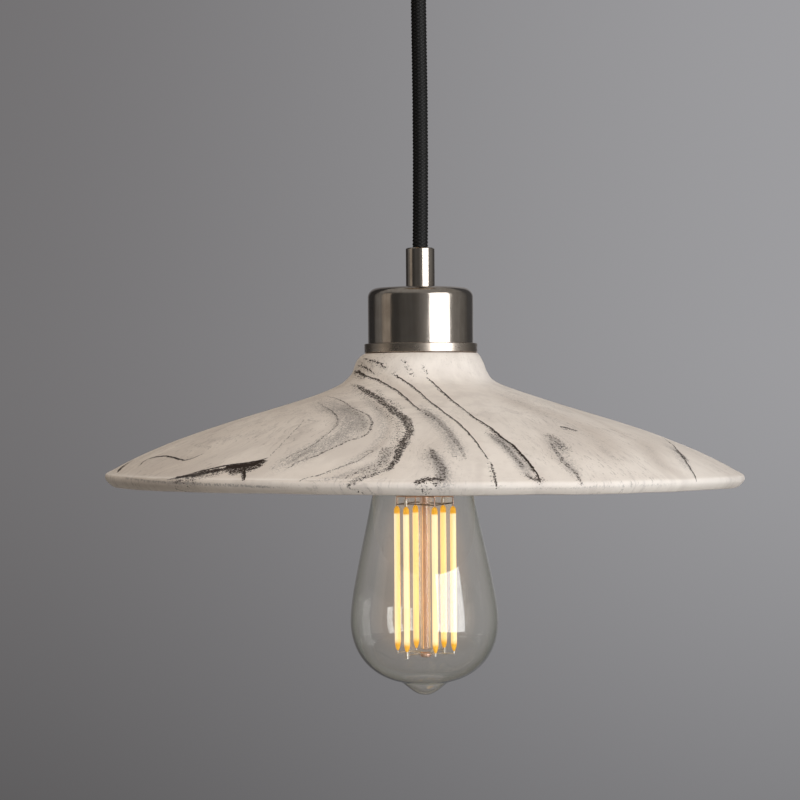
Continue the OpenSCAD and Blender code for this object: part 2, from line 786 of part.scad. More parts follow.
module holder_terminals() {
  color(brass)
    for (side = [0, 180])
      rotate([0, 0, side])
        difference() {
          terminal_pocket(0);
          translate([terminal_x - terminal_w, 0, core_entry_z]) rotate([0, 90, 0])
            cylinder(r = core_hole_r, h = 2 * terminal_w);
          translate([terminal_x, 0, core_entry_z]) cylinder(r = terminal_screw_r + fit, h = terminal_h);
        }
}

module holder_terminal_screws() {
  color(zinc)
    for (side = [0, 180])
      rotate([0, 0, side]) translate([terminal_x, 0, terminal_top_z])
        slotted_screw(terminal_screw_r, terminal_top_z - core_entry_z - core_r - fit,
          terminal_head_r, terminal_head_t);
}

// Sprung bronze strip that meets the tip of the bulb
module centre_contact() {
  half_l = 9;
  color(brass)
    translate([0, contact_w / 2, 0]) rotate([90, 0, 0]) linear_extrude(contact_w)
      polygon([
        [-half_l, insert_bottom_z], [-half_l, insert_bottom_z - contact_t],
        [-half_l * 0.45, insert_bottom_z - contact_t], [-2, centre_contact_z], [2, centre_contact_z],
        [4, centre_contact_z + 1], [3.6, centre_contact_z + contact_t + 0.9],
        [1.7, centre_contact_z + contact_t],
        [-1.7, centre_contact_z + contact_t], [-half_l * 0.38, insert_bottom_z]
      ]);
}

module side_contact() {
  color(brass)
    translate([-contact_w / 2, -side_contact_r - contact_t / 2, side_contact_bottom_z])
      cube([contact_w, contact_t, insert_bottom_z - side_contact_bottom_z]);
}

module holder_skirt() {
  edge = 0.6;
  mouth_h = 2;
  mouth_z = skirt_bottom_z + mouth_h;
  shoulder_z = insert_bottom_z;
  color(zinc)
    difference() {
      rotate_extrude()
        polygon([
          [0, skirt_bottom_z], [skirt_r - edge, skirt_bottom_z], [skirt_r, skirt_bottom_z + edge],
          [skirt_r, holder_cap_bottom_z], [spigot_r, holder_cap_bottom_z], [spigot_r, spigot_top_z],
          [0, spigot_top_z]
        ]);
      translate([0, 0, shoulder_z]) cylinder(r = insert_r + fit, h = spigot_top_z - shoulder_z + cut);
      translate([0, 0, side_contact_bottom_z - turn_gap])
        cylinder(r = socket_wide_r, h = shoulder_z - side_contact_bottom_z + turn_gap + cut);
      threaded_core(thread_mid_r + thread_gap, thread_depth, mouth_z - cut,
        side_contact_bottom_z, contact_tip_z, mouth_z - 2 * cut);
      translate([0, 0, skirt_bottom_z - cut])
        cylinder(r1 = socket_wide_r + 1, r2 = socket_wide_r, h = mouth_h + cut);
    }
}

// Shade, its gaskets and the ring that clamps it
module upper_gasket() {
  color([0.35, 0.24, 0.16])
    translate([0, 0, shade_top_z])
      difference() {
        cylinder(r = collar_top_r - 0.5, h = gasket_t);
        translate([0, 0, -cut]) cylinder(r = skirt_r + fit, h = gasket_t + 2 * cut);
      }
}

function shade_outside() = concat(
  [[collar_top_r, 0]],
  curve([[collar_top_r, 0], [collar_top_r + 2.5, 0.6], [collar_r - 0.4, collar_h * 0.5],
    [collar_r, collar_h]], 6, 1),
  curve([[collar_r, collar_h], [collar_r + 0.4, collar_h + 3],
    foot_point - 4.9 * [cos(foot_slope), sin(foot_slope)], foot_point], 6, 1),
  curve(slope_curve, 24, 1)
);
function shade_lip() = let (
    meet = 180 + rim_slope - asin((shade_wall - lip_r) / lip_r)
  ) arc(lip_centre, lip_r, rim_slope - 90, meet, 16);
function shade_inside() = let (
    lip_share = sqrt(pow(lip_r, 2) - pow(shade_wall - lip_r, 2)) / (3 * rim_pull),
    last = 1 - lip_share - 0.01,
    start = beside(slope_curve, 0, shade_wall),
    down = unit(bezier_slope(slope_curve, 0)),
    corner = [[pocket_r, seat_t + 3], [pocket_r, seat_t + 6], start - 4 * down, start]
  ) concat(
    [for (i = [24 : -1 : 1]) beside(slope_curve, last * i / 24, shade_wall)],
    [for (i = [6 : -1 : 0]) bezier(corner, i / 6)]
  );
module ceramic_shade() {
  color(cream_clay)
    rotate_extrude()
      polygon(hang(concat(
        [[shade_hole_r, 0]], shade_outside(), [for (i = [1 : 16]) shade_lip()[i]], shade_inside(),
        [[pocket_r, seat_t], [shade_hole_r, seat_t]]
      ), shade_top_z));
}

module lower_gasket() {
  color([0.35, 0.24, 0.16])
    translate([0, 0, seat_z - gasket_t])
      difference() {
        cylinder(r = clamp_ring_r - 0.4, h = gasket_t);
        translate([0, 0, -cut]) cylinder(r = skirt_r + fit, h = gasket_t + 2 * cut);
      }
}

module clamp_ring() {
  notches = 18;
  notch_r = 0.7;
  color(zinc)
    translate([0, 0, seat_z - gasket_t - clamp_ring_h])
      difference() {
        screwed_ring(clamp_ring_r, clamp_ring_h, 0.4);
        for (i = [0 : notches - 1])
          rotate([0, 0, 360 * i / notches]) translate([clamp_ring_r + 0.2, 0, -cut])
            cylinder(r = notch_r, h = clamp_ring_h + 2 * cut);
      }
}

// Bulb
module bulb_contact() {
  color(zinc)
    translate([0, 0, contact_tip_z - bulb_contact_h])
      rotate_extrude()
        polygon([
          [0, 0], [bulb_contact_r, 0], [bulb_contact_r, 0.5], [0.7 * bulb_contact_r, 1.2],
          [0.35 * bulb_contact_r, bulb_contact_h], [0, bulb_contact_h]
        ]);
}

module bulb_insulator() {
  color([0.12, 0.12, 0.14])
    translate([0, 0, contact_tip_z - bulb_contact_h - insulator_h])
      cylinder(r1 = insulator_r, r2 = bulb_contact_r + 0.4, h = insulator_h);
}

module bulb_screw_shell() {
  top_z = contact_tip_z - shell_top;
  low_z = contact_tip_z - cap_l;
  lip_t = 0.5;
  color(nickel)
    difference() {
      threaded_core(thread_mid_r, thread_depth, low_z, top_z, contact_tip_z, low_z + shell_collar_h);
      translate([0, 0, low_z - cut]) cylinder(r = shell_bore_r, h = top_z - low_z - lip_t + cut);
      translate([0, 0, low_z]) cylinder(r = bulb_contact_r, h = top_z - low_z + cut);
    }
}

// Small circuit board upright in the screw cap
module bulb_driver() {
  board_w = 14;
  board_h = 12.5;
  board_t = 1.2;
  color("darkgreen")
    translate([-board_w / 2, -board_t / 2, contact_tip_z - shell_top - 0.5 - board_h])
      cube([board_w, board_t, board_h]);
}

function glass_neck() = [[neck_r, cap_l], [neck_r + 1.2, cap_l + 7.5],
  [0.84 * shoulder_r, shoulder_at - 16.2], [shoulder_r, shoulder_at]];
function glass_side() = let (span = belly_at - shoulder_at)
  [[shoulder_r, shoulder_at], [1.163 * shoulder_r, shoulder_at + 0.369 * span],
    [bulb_r, belly_at - 0.22 * span], [bulb_r, belly_at]];
function glass_base() = let (low = bulb_l - tip_h, span = low - belly_at)
  [[bulb_r, belly_at], [bulb_r, belly_at + 0.432 * span], [0.776 * bulb_r, low - 0.1 * span],
    [tip_r, low]];
function glass_nose() = [[tip_r - 2.2, bulb_l - 0.648 * tip_h], [tip_r - 3.2, bulb_l - 0.3 * tip_h],
  [0.36 * tip_r, bulb_l], [0, bulb_l]];
module bulb_glass() {
  outside = concat(
    [[neck_r, neck_top], [neck_r, cap_l]],
    curve(glass_neck(), 8, 1), curve(glass_side(), 10, 1), curve(glass_base(), 12, 1), curve(glass_nose(), 6)
  );
  inside = concat([[neck_r - glass_t, neck_top]],
    [for (i = [0 : 8]) beside(glass_neck(), i / 8, glass_t)],
    [for (i = [1 : 10]) beside(glass_side(), i / 10, glass_t)],
    [for (i = [1 : 12]) beside(glass_base(), i / 12, glass_t)]);
  inner_low = inside[len(inside) - 1][1];
  color(glass_grey)
    difference() {
      rotate_extrude() polygon(hang(outside, contact_tip_z));
      rotate_extrude()
        polygon(hang(concat(
          [[0, neck_top - cut], [neck_r - glass_t, neck_top - cut]], inside, [[0, inner_low]]
        ), contact_tip_z));
    }
}

// Glass stem inside the bulb: a flare in the neck and a tube down to the lower hub
module bulb_stem() {
  color(glass_grey)
    rotate_extrude()
      polygon(hang(concat(
        [[0, neck_top + 1], [neck_r - glass_t - fit, neck_top + 1], [neck_r - glass_t - fit, neck_top + 2.2]],
        curve([[neck_r - glass_t - 1, neck_top + 3], [stem_tube_r + 1, stem_flare_at],
          [stem_tube_r, stem_flare_at + 4], [stem_tube_r, stem_flare_at + 12]], 6),
        [[stem_tube_r, stem_end], [0, stem_end]]
      ), contact_tip_z));
}

// Spokes from a hub to the filaments, each with a short pin towards its filament
module support_spokes(inner_r, pin_side) {
  for (i = [0 : filament_n - 1])
    rotate([0, 0, filament_turn + 360 * i / filament_n]) {
      translate([inner_r, 0, 0]) rotate([0, 90, 0])
        cylinder(r = wire_r, h = filament_ring_r - inner_r + wire_r);
      translate([filament_ring_r, 0, pin_side < 0 ? -support_gap : 0])
        cylinder(r = wire_r, h = support_gap);
    }
}

module filament_supports() {
  color(nickel) {
    translate([0, 0, contact_tip_z - filament_top + support_gap]) {
      difference() {
        translate([0, 0, -hub_h / 2]) cylinder(r = hub_r, h = hub_h);
        translate([0, 0, -hub_h]) cylinder(r = stem_tube_r + fit, h = 2 * hub_h);
      }
      support_spokes(stem_tube_r + 2 * fit, -1);
    }
    translate([0, 0, contact_tip_z - filament_end - support_gap]) {
      translate([0, 0, -hub_h / 2]) cylinder(r = hub_r, h = hub_h);
      support_spokes(stem_tube_r, 1);
    }
  }
}

module bulb_filaments() {
  color(glow)
    for (i = [0 : filament_n - 1])
      rotate([0, 0, filament_turn + 360 * i / filament_n])
        translate([filament_ring_r, 0, contact_tip_z - filament_end])
          cylinder(d = filament_d, h = filament_l);
}

canopy_cup();
ceiling_bracket();
canopy_side_screws();
terminal_block();
terminal_clamps();
terminal_screws();
block_fixing_screw();
bracket_earth_terminal();
bracket_earth_screw();
rose_cord_grip();
rose_grip_stem();
rose_locknut();
rose_grip_collet();
rose_grip_screw();
rose_cord_tail();
rose_live_core();
rose_neutral_core();
rose_earth_core();
cord();
lamp_cord_grip();
lamp_grip_stem();
lamp_grip_collet();
lamp_grip_screw();
lamp_cord_tail();
lamp_live_core();
lamp_neutral_core();
lamp_earth_core();
lampholder_cover();
cover_ring();
holder_cap();
holder_earth_terminal();
holder_insert();
holder_terminals();
holder_terminal_screws();
centre_contact();
side_contact();
holder_skirt();
upper_gasket();
ceramic_shade();
lower_gasket();
clamp_ring();
bulb_contact();
bulb_insulator();
bulb_screw_shell();
bulb_driver();
bulb_glass();
bulb_stem();
filament_supports();
bulb_filaments();
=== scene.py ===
"""The looks of a ceramic pendant light: marbled clay shade, satin nickel lampholder cover, braided cord
and a lit long-filament bulb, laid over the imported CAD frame."""

import json
import math

import bpy
import numpy as np
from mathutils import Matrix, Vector


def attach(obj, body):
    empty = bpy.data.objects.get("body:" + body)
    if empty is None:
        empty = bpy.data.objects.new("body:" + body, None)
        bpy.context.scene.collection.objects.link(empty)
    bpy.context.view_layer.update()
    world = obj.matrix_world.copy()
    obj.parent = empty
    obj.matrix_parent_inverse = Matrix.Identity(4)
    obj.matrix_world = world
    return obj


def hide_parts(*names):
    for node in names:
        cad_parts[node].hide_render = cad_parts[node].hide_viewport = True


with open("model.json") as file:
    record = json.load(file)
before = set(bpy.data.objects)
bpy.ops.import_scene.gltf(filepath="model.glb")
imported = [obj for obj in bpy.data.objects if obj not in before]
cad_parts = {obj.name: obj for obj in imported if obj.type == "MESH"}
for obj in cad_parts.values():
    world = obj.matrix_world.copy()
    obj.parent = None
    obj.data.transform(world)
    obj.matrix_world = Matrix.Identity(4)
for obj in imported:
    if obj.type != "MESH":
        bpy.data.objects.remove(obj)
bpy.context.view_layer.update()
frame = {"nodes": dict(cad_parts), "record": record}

MM = 0.001
scene = bpy.context.scene
scene.view_settings.view_transform = "Standard"

# Camera

FRAME_PX = 800
SENSOR_MM = 36.0
LENS_MM = 119.0
CAMERA_PLACE = (-0.00926, -1.15, -0.2243)
CAMERA_TURN = (90.065, 0.42, 0)

camera_data = bpy.data.cameras.new("camera")
camera_data.sensor_width = SENSOR_MM
camera_data.lens = LENS_MM
camera = bpy.data.objects.new("camera", camera_data)
scene.collection.objects.link(camera)
camera.location = CAMERA_PLACE
camera.rotation_euler = [math.radians(angle) for angle in CAMERA_TURN]
scene.camera = camera
bpy.context.view_layer.update()

# Finishes


class Value:
    """A number, colour or place inside a finish, with its maths written as plain expressions."""

    def __init__(self, finish, socket):
        self.finish = finish
        self.socket = socket

    def __add__(self, other):
        return self.finish.maths("ADD", self, other)

    def __sub__(self, other):
        return self.finish.maths("SUBTRACT", self, other)

    def __rsub__(self, other):
        return self.finish.maths("SUBTRACT", other, self)

    def __mul__(self, other):
        return self.finish.maths("MULTIPLY", self, other)

    def __abs__(self):
        return self.finish.maths("ABSOLUTE", self)

    __radd__ = __add__
    __rmul__ = __mul__

    def ramp(self, low, high):
        """0 up to low, 1 from high, and a soft rise between them."""
        return self.finish.node(
            "MapRange", {"interpolation_type": "SMOOTHSTEP"}, {0: self, 1: low, 2: high}
        )

    def larger(self, other):
        return self.finish.maths("MAXIMUM", self, other)


class Finish:
    """The nodes of one material, or of the air around the light."""

    def __init__(self, owner):
        owner.use_nodes = True
        self.owner = owner
        self.tree = owner.node_tree
        self.tree.nodes.clear()
        self.place = self.node("TexCoord", output="Object")

    def node(self, kind, settings=None, inputs=None, output=0):
        """Adds a node: its type, then its settings, then the values or links of its sockets."""
        made = self.tree.nodes.new("ShaderNode" + kind)
        for key, value in (settings or {}).items():
            setattr(made, key, value)
        for key, value in (inputs or {}).items():
            if isinstance(value, Value):
                self.tree.links.new(value.socket, made.inputs[key])
            else:
                made.inputs[key].default_value = value
        if made.outputs:
            return Value(self, made.outputs[output])

    def maths(self, operation, *values):
        return self.node("Math", {"operation": operation}, dict(enumerate(values)))

    def noise(self, scale, detail=3.0, roughness=0.55, place=None):
        sockets = {"Scale": scale, "Detail": detail, "Roughness": roughness}
        return self.node("TexNoise", inputs={"Vector": place or self.place, **sockets})

    def attribute(self, name, output="Fac"):
        return self.node("Attribute", {"attribute_name": name}, output=output)

    def stretched(self, x, y, z):
        """The place on the piece, scaled along its three axes."""
        return self.node("Mapping", inputs={"Vector": self.place, "Scale": (x, y, z)})

    def part_of(self, vector, axis):
        return self.node("SeparateXYZ", inputs={0: vector}, output=axis)

    def mix(self, share, first, second):
        """A colour between two colours."""
        ends = [c if isinstance(c, Value) else (*c, 1.0) for c in (first, second)]
        return self.node("Mix", {"data_type": "RGBA"}, {0: share, 6: ends[0], 7: ends[1]}, output=2)

    def bump(self, height, depth, strength):
        return self.node("Bump", inputs={"Height": height, "Distance": depth, "Strength": strength})

    def surface(self, **sockets):
        """Closes the finish with a Principled shader. An underscore is a blank in a socket's name."""
        named = {key.replace("_", " "): value for key, value in sockets.items()}
        for key, value in named.items():
            if isinstance(value, tuple) and len(value) == 3:
                named[key] = (*value, 1.0)
        self.node("OutputMaterial", inputs={"Surface": self.node("BsdfPrincipled", inputs=named)})
        return self.owner


def finish(name):
    return Finish(bpy.data.materials.new(name))


def worn_metal(name, bright, dull, roughness, grain=(1, 1, 1), bump=0.00001):
    """Metal with cloudy patches, a fine grain along its length and small specks."""
    metal = finish(name)
    clouds = metal.noise(160, 4)
    grain_lines = metal.noise(900, 3, 0.6, metal.stretched(*grain))
    specks = metal.noise(2600, 2).ramp(0.60, 0.72)
    shade = (clouds * 0.55 + grain_lines * 0.45).ramp(0.3, 0.7)
    return metal.surface(
        Base_Color=metal.mix(specks * 0.35, metal.mix(shade, bright, dull), dull),
        Metallic=1.0,
        Roughness=roughness + 0.10 * shade + 0.08 * specks,
        Normal=metal.bump(grain_lines, bump, 0.5),
    )


def moulded(name, light, dark, roughness, grain=700):
    """Plastic, fibre or porcelain with a faint mottle and a fine moulded skin."""
    skin = finish(name)
    mottle = skin.noise(120, 4)
    fine = skin.noise(grain, 3)
    return skin.surface(
        Base_Color=skin.mix((mottle * 0.6 + fine * 0.4).ramp(0.3, 0.7), light, dark),
        Roughness=roughness + 0.12 * (fine - 0.5),
        Normal=skin.bump(fine, 0.00002, 0.4),
    )


def striped_core():
    """Earth core: green insulation with a yellow stripe that winds round it."""
    core = finish("green_yellow_core")
    winding = {"Vector": core.place, "Scale": 90, "Distortion": 1.5}
    stripe = core.node("TexWave", {"bands_direction": "DIAGONAL"}, winding)
    return core.surface(
        Base_Color=core.mix(stripe.ramp(0.42, 0.58), (0.03, 0.22, 0.05), (0.72, 0.62, 0.04)),
        Roughness=0.42 + 0.1 * core.noise(600),
    )


def circuit_board():
    board = finish("circuit_board")
    tracks = board.node(
        "TexVoronoi", {"feature": "DISTANCE_TO_EDGE"}, {"Vector": board.place, "Scale": 420}
    )
    return board.surface(
        Base_Color=board.mix(tracks.ramp(0.05, 0.09), (0.30, 0.26, 0.12), (0.015, 0.09, 0.04)),
        Roughness=0.45 + 0.1 * board.noise(500),
    )


def braid():
    """Matt black textile of the cord, its raised strands shinier, with a painted highlight that makes
    them a little lighter.
    """
    textile = finish("black_braid")
    raised = textile.attribute("raised")
    fibres = textile.noise(2600, 2, 0.7, textile.stretched(1, 1, 0.35))
    # Painted highlight: the raised strands' colour is lighter, as if light caught their tops
    lit = (raised * (0.55 + 0.9 * fibres)).ramp(0.25, 1.0)
    return textile.surface(
        Base_Color=textile.mix(lit, (0.001, 0.001, 0.001), (0.013, 0.012, 0.012)),
        Roughness=0.70 - 0.15 * raised,
        Specular_IOR_Level=0.32,
        Normal=textile.bump(fibres, 0.00006, 0.6),
    )


def held_braid():
    """The same textile where grips hold it."""
    textile = finish("held_braid")
    weave = textile.node(
        "TexVoronoi", inputs={"Vector": textile.stretched(1, 1, 0.8), "Scale": 720.0}
    )
    return textile.surface(
        Base_Color=textile.mix(weave.ramp(0.1, 0.6), (0.020, 0.020, 0.022), (0.003, 0.003, 0.003)),
        Roughness=0.6 + 0.15 * textile.noise(1800),
        Normal=textile.bump(1 - weave, 0.0002, 0.6),
    )


# Veins that lie close together are kept in different layers
VEIN_LAYERS = ("a", "b", "c")


def marbled_clay():
    """Cream clay: grey bands and fine lines along the flow, charcoal veins on their routes, specks, and
    a painted highlight and painted shade on the lip.
    """
    clay = finish("marbled_clay")
    cloud = clay.noise(24, 3)
    patch = clay.noise(15, 2)
    weather = clay.noise(170, 5, 0.65)
    fleck = clay.noise(1200, 3, 0.62)
    grit = clay.noise(2300, 2, 0.7)
    rough_edge = (fleck - 0.5) * 1.5 + (grit - 0.5) * 0.9 + 0.5

    # Bands and lines that follow the veins round the shade
    flow = clay.node(
        "VectorMath",
        {"operation": "MULTIPLY_ADD"},
        {0: clay.place, 1: (2.2, 2.2, 2.2), 2: clay.attribute("flow", "Vector")},
    )
    broad = clay.noise(8, 3, 0.5, flow)
    lines = clay.noise(30, 4, 0.62, flow)
    hair = clay.noise(95, 2, 0.5, flow)

    body = clay.mix(cloud.ramp(0.35, 0.68), (0.82, 0.765, 0.705), (0.74, 0.68, 0.62))
    body = clay.mix(weather.ramp(0.48, 0.75) * 0.35, body, (0.63, 0.575, 0.52))
    body = clay.mix(broad.ramp(0.46, 0.64) * 0.30, body, (0.55, 0.495, 0.455))
    body = clay.mix(lines.ramp(0.52, 0.66) * patch.ramp(0.42, 0.60) * 0.30, body, (0.42, 0.375, 0.35))
    # Brown-grey tones, and painted shade on the left part of the lip
    tone_and_painted_shade = clay.attribute("tone_and_painted_shade") * (0.7 + 0.6 * lines)
    body = clay.mix(tone_and_painted_shade * 0.6, body, (0.56, 0.49, 0.43))
    # Painted highlight: a paler colour along the top of the lip
    body = clay.mix(clay.attribute("rim") * 0.7, body, (0.93, 0.895, 0.85))
    # Grey bands, and a painted shadow line along the lip, broken up by the lines and flecks
    wash_and_painted_shade = clay.attribute("wash_and_painted_shade")
    speckled_wash_and_shade = wash_and_painted_shade * (0.66 + 1.0 * (lines - 0.5) + 4.2 * (fleck - 0.5) + 3.0 * (grit - 0.5))
    body = clay.mix(speckled_wash_and_shade.ramp(0.05, 0.90) * 0.80, body, (0.31, 0.29, 0.28))

    # Ink: it is solid where it is laid thick, and breaks into flecks where it thins out
    specks = grit.ramp(0.67, 0.73) * cloud.ramp(0.42, 0.62) * 0.55
    hair_lines = hair.ramp(0.58, 0.66) * patch.ramp(0.44, 0.56)
    marks = specks.larger(hair_lines * (fleck + 0.05).ramp(0.45, 0.60) * 0.30)
    density = clay.attribute("grain") * 0.62
    for layer in VEIN_LAYERS:
        across = clay.attribute("across_" + layer) + (weather - 0.5) * 1.5
        ink = clay.attribute("ink_" + layer)
        core = 1 - abs(across).ramp(0.30, 1.30)
        halo = 1 - abs(across + 0.9).ramp(0.5, 2.6)
        density = density.larger(ink * core).larger(ink * halo * 0.62)
    marks = marks.larger((density - rough_edge).ramp(-0.08, 0.10))
    charcoal = clay.mix(cloud.ramp(0.54, 0.68), (0.024, 0.014, 0.009), (0.034, 0.029, 0.028))
    body = clay.mix(marks, body, charcoal)

    return clay.surface(
        Base_Color=body,
        Roughness=0.50 + 0.16 * fleck,
        Specular_IOR_Level=0.28,
        Normal=clay.bump(weather * 0.6 + fleck * 0.5 + grit * 0.4, 0.00022, 0.5),
    )


# Heights in metres between which the painted glow in the glass rises, and between which it fades again
PAINTED_GLOW_RISES = (-0.350, -0.312)
PAINTED_GLOW_FADES = (-0.285, -0.255)


def blown_glass(name, tint, cast, rim_tint, index, painted_edge_glow, glow):
    """Clear glass, its faint tint deeper where it is seen edge on, with a painted glow beside the
    filaments that the glass itself emits.
    """
    glass = finish(name)
    turned_away = glass.node("LayerWeight", inputs={"Blend": 0.5}, output="Facing")
    edge = turned_away.ramp(0.40, 0.97)
    cloudy = glass.noise(35, 2).ramp(0.3, 0.7)
    height = glass.part_of(glass.place, "Z")
    beside_filaments = height.ramp(*PAINTED_GLOW_RISES) * (1 - height.ramp(*PAINTED_GLOW_FADES))
    # Painted glow: the glass emits warm light beside the filaments, most where it is seen face on
    painted_glow = glass.mix(turned_away.ramp(0.02, 0.13), glow, painted_edge_glow)
    return glass.surface(
        Base_Color=glass.mix(edge, glass.mix(cloudy, tint, cast), rim_tint),
        Roughness=0.0,
        IOR=index,
        Transmission_Weight=1.0,
        Emission_Color=glass.mix(beside_filaments * (1 - 0.5 * cloudy), (0, 0, 0), painted_glow),
        Emission_Strength=1.0,
    )


def filament_glow():
    """Yellow phosphor: glowing body, paler on its outer side, and orange unlit ends."""
    strip = finish("glowing_filament")
    outward = strip.attribute("outward")
    lit = strip.attribute("lit")
    grain = strip.noise(900, 2)
    body = strip.mix(outward.ramp(0.15, 0.80), (0.96, 0.68, 0.30), (0.98, 0.83, 0.57))
    return strip.surface(
        Base_Color=strip.mix(grain, (0.80, 0.44, 0.03), (0.85, 0.52, 0.05)),
        Roughness=0.5,
        Emission_Color=strip.mix(lit, (0.64, 0.29, 0.005), body),
        Emission_Strength=1.0,
    )


# Bright and dull colours, roughness, and for some the run and depth of the grain
METALS = {
    "satin_nickel": ((0.66, 0.60, 0.535), (0.50, 0.44, 0.38), 0.10, (1, 1, 0.04), 0.00002),
    "zinc_steel": ((0.66, 0.67, 0.68), (0.48, 0.48, 0.47), 0.30),
    "nickel_plate": ((0.72, 0.70, 0.66), (0.55, 0.52, 0.48), 0.22),
    "brass": ((0.80, 0.60, 0.28), (0.58, 0.40, 0.17), 0.26),
}
# Light and dark colours, roughness, and for some how fine the skin is
MOULDED = {
    "white_nylon": ((0.78, 0.77, 0.72), (0.66, 0.65, 0.60), 0.45),
    "brown_core": ((0.20, 0.085, 0.035), (0.12, 0.05, 0.02), 0.4),
    "blue_core": ((0.03, 0.14, 0.42), (0.02, 0.08, 0.27), 0.4),
    "white_porcelain": ((0.83, 0.81, 0.76), (0.72, 0.70, 0.65), 0.22, 300),
    "fibre_gasket": ((0.085, 0.038, 0.018), (0.045, 0.02, 0.01), 0.8, 1500),
    "black_vitrite": ((0.015, 0.015, 0.02), (0.03, 0.03, 0.035), 0.15),
}
SLOT_FINISH = {name: worn_metal(name, *looks) for name, looks in METALS.items()}
SLOT_FINISH |= {name: moulded(name, *looks) for name, looks in MOULDED.items()}
SLOT_FINISH |= {
    "black_braid": held_braid(),
    "green_yellow_core": striped_core(),
    "circuit_board": circuit_board(),
    "marbled_clay": marbled_clay(),
    "clear_glass": blown_glass(
        "clear_glass", (0.985, 0.985, 0.965), (0.97, 0.975, 0.945), (0.56, 0.61, 0.52), 1.56,
        (0.014, 0.011, 0.009), (0.075, 0.040, 0.015),
    ),
    "stem_glass": blown_glass(
        "stem_glass", (0.98, 0.92, 0.88), (0.96, 0.89, 0.84), (0.86, 0.74, 0.68), 1.46,
        (0.06, 0.035, 0.025), (0.06, 0.035, 0.025),
    ),
    "glowing_filament": filament_glow(),
}
for subpart in frame["record"]["subparts"]:
    node_mesh = frame["nodes"][subpart["node"]].data
    node_mesh.materials.clear()
    node_mesh.materials.append(SLOT_FINISH[subpart["material_slot"]])

# Modelling helpers

START_SIZE = 0.001
OUTLINE_MERGE = 1e-7
SEAM_MERGE = 2e-6
WIRE_SIDES = 10


def deselect():
    bpy.ops.object.select_all(action="DESELECT")


def pick(piece):
    """Selects one piece alone and makes it active."""
    deselect()
    piece.select_set(True)
    bpy.context.view_layer.objects.active = piece


def settle(piece, name, body, slot=None, stands_for=(), material=None):
    """Names a piece, applies its place, gives it a finish, its slot's or another, and lets it ride."""
    pick(piece)
    bpy.ops.object.transform_apply(location=True, rotation=True, scale=True)
    piece.name = piece.data.name = name
    piece.data.materials.clear()
    piece.data.materials.append(material or SLOT_FINISH[slot])
    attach(piece, body)
    if stands_for:
        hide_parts(*stands_for)
    return piece


def turned(outline, steps, closed=True, axis=(0.0, 0.0), smooth=40):
    """A piece spun about an upright axis from its outline of (radius, height) points in millimetres."""
    deselect()
    x, y = axis[0] * MM, axis[1] * MM
    radius, height = outline[0]
    bpy.ops.mesh.primitive_plane_add(size=START_SIZE, location=(x + radius * MM, y, height * MM))
    bpy.ops.object.mode_set(mode="EDIT")
    bpy.ops.mesh.merge(type="CENTER")
    path = list(outline) + ([outline[0]] if closed else [])
    for here, there in zip(path, path[1:]):
        step = ((there[0] - here[0]) * MM, 0, (there[1] - here[1]) * MM)
        bpy.ops.mesh.extrude_vertices_move(TRANSFORM_OT_translate={"value": step})
    bpy.ops.mesh.select_all(action="SELECT")
    bpy.ops.mesh.remove_doubles(threshold=OUTLINE_MERGE)
    bpy.ops.mesh.spin(steps=steps, angle=math.tau, center=(x, y, 0), axis=(0, 0, 1))
    bpy.ops.mesh.select_all(action="SELECT")
    bpy.ops.mesh.remove_doubles(threshold=SEAM_MERGE)
    bpy.ops.mesh.normals_make_consistent(inside=False)
    bpy.ops.object.mode_set(mode="OBJECT")
    bpy.ops.object.shade_smooth_by_angle(angle=math.radians(smooth))
    return bpy.context.object


def drawn_wire(points, radius):
    """A thin wire through points in millimetres, drawn on from a small round face."""
    deselect()
    line = [Vector(p) * MM for p in points]
    bpy.ops.mesh.primitive_circle_add(
        vertices=WIRE_SIDES,
        radius=radius * MM,
        fill_type="NGON",
        location=line[0],
        rotation=(line[1] - line[0]).to_track_quat("Z", "Y").to_euler(),
    )
    bpy.ops.object.mode_set(mode="EDIT")
    for here, there in zip(line, line[1:]):
        bpy.ops.mesh.extrude_region_move(TRANSFORM_OT_translate={"value": there - here})
    bpy.ops.mesh.select_all(action="SELECT")
    bpy.ops.mesh.normals_make_consistent(inside=False)
    bpy.ops.object.mode_set(mode="OBJECT")
    bpy.ops.object.shade_smooth_by_angle(angle=math.radians(50))
    return bpy.context.object


def joined(parts):
    """One piece from several."""
    deselect()
    for part in parts:
        part.select_set(True)
    bpy.context.view_layer.objects.active = parts[0]
    bpy.ops.object.join()
    return parts[0]


def curve(a, b, c, d, count):
    """Points of a curve from a towards b, and by way of c to d, after its first one."""
    t = np.linspace(0, 1, count + 1)[1:, None]
    a, b, c, d = (np.array(p, float) for p in (a, b, c, d))
    return (1 - t) ** 3 * a + 3 * (1 - t) ** 2 * t * b + 3 * (1 - t) * t**2 * c + t**3 * d


def beside_line(line, gap):
    """A line beside another, on its left where gap is above 0."""
    along = np.gradient(line, axis=0)
    along /= np.linalg.norm(along, axis=1)[:, None]
    return line + gap * np.column_stack([-along[:, 1], along[:, 0]])


def corners(piece):
    """Where a piece's vertices are, in millimetres."""
    flat = np.empty(len(piece.data.vertices) * 3)
    piece.data.vertices.foreach_get("co", flat)
    return flat.reshape(-1, 3) / MM


def hundredths(values):
    """Weights from 0 to 1 in steps of a hundredth."""
    return np.round(np.clip(values, 0, 1), 2)


def keep(piece, name, values):
    """Stores one number for each vertex, for the piece's finish."""
    stored = piece.data.attributes.new(name, "FLOAT", "POINT")
    stored.data.foreach_set("value", np.asarray(values, np.float32))


# Cord

# The route is that of the CAD cord, in millimetres
CORD_ROUTE = [
    (0, 0, -157), (0.2, 0, -142.5), (0.4, 0, -117.5), (0.4, 0, -92.5), (0.2, 0, -67.5), (0, 0, -42.5)
]
CORD_RADIUS = 3.35
STRAND_COLUMNS = 7
STRAND_PITCH = 1.5
BRAID_RELIEF = 0.22
TUCKED_IN = 3


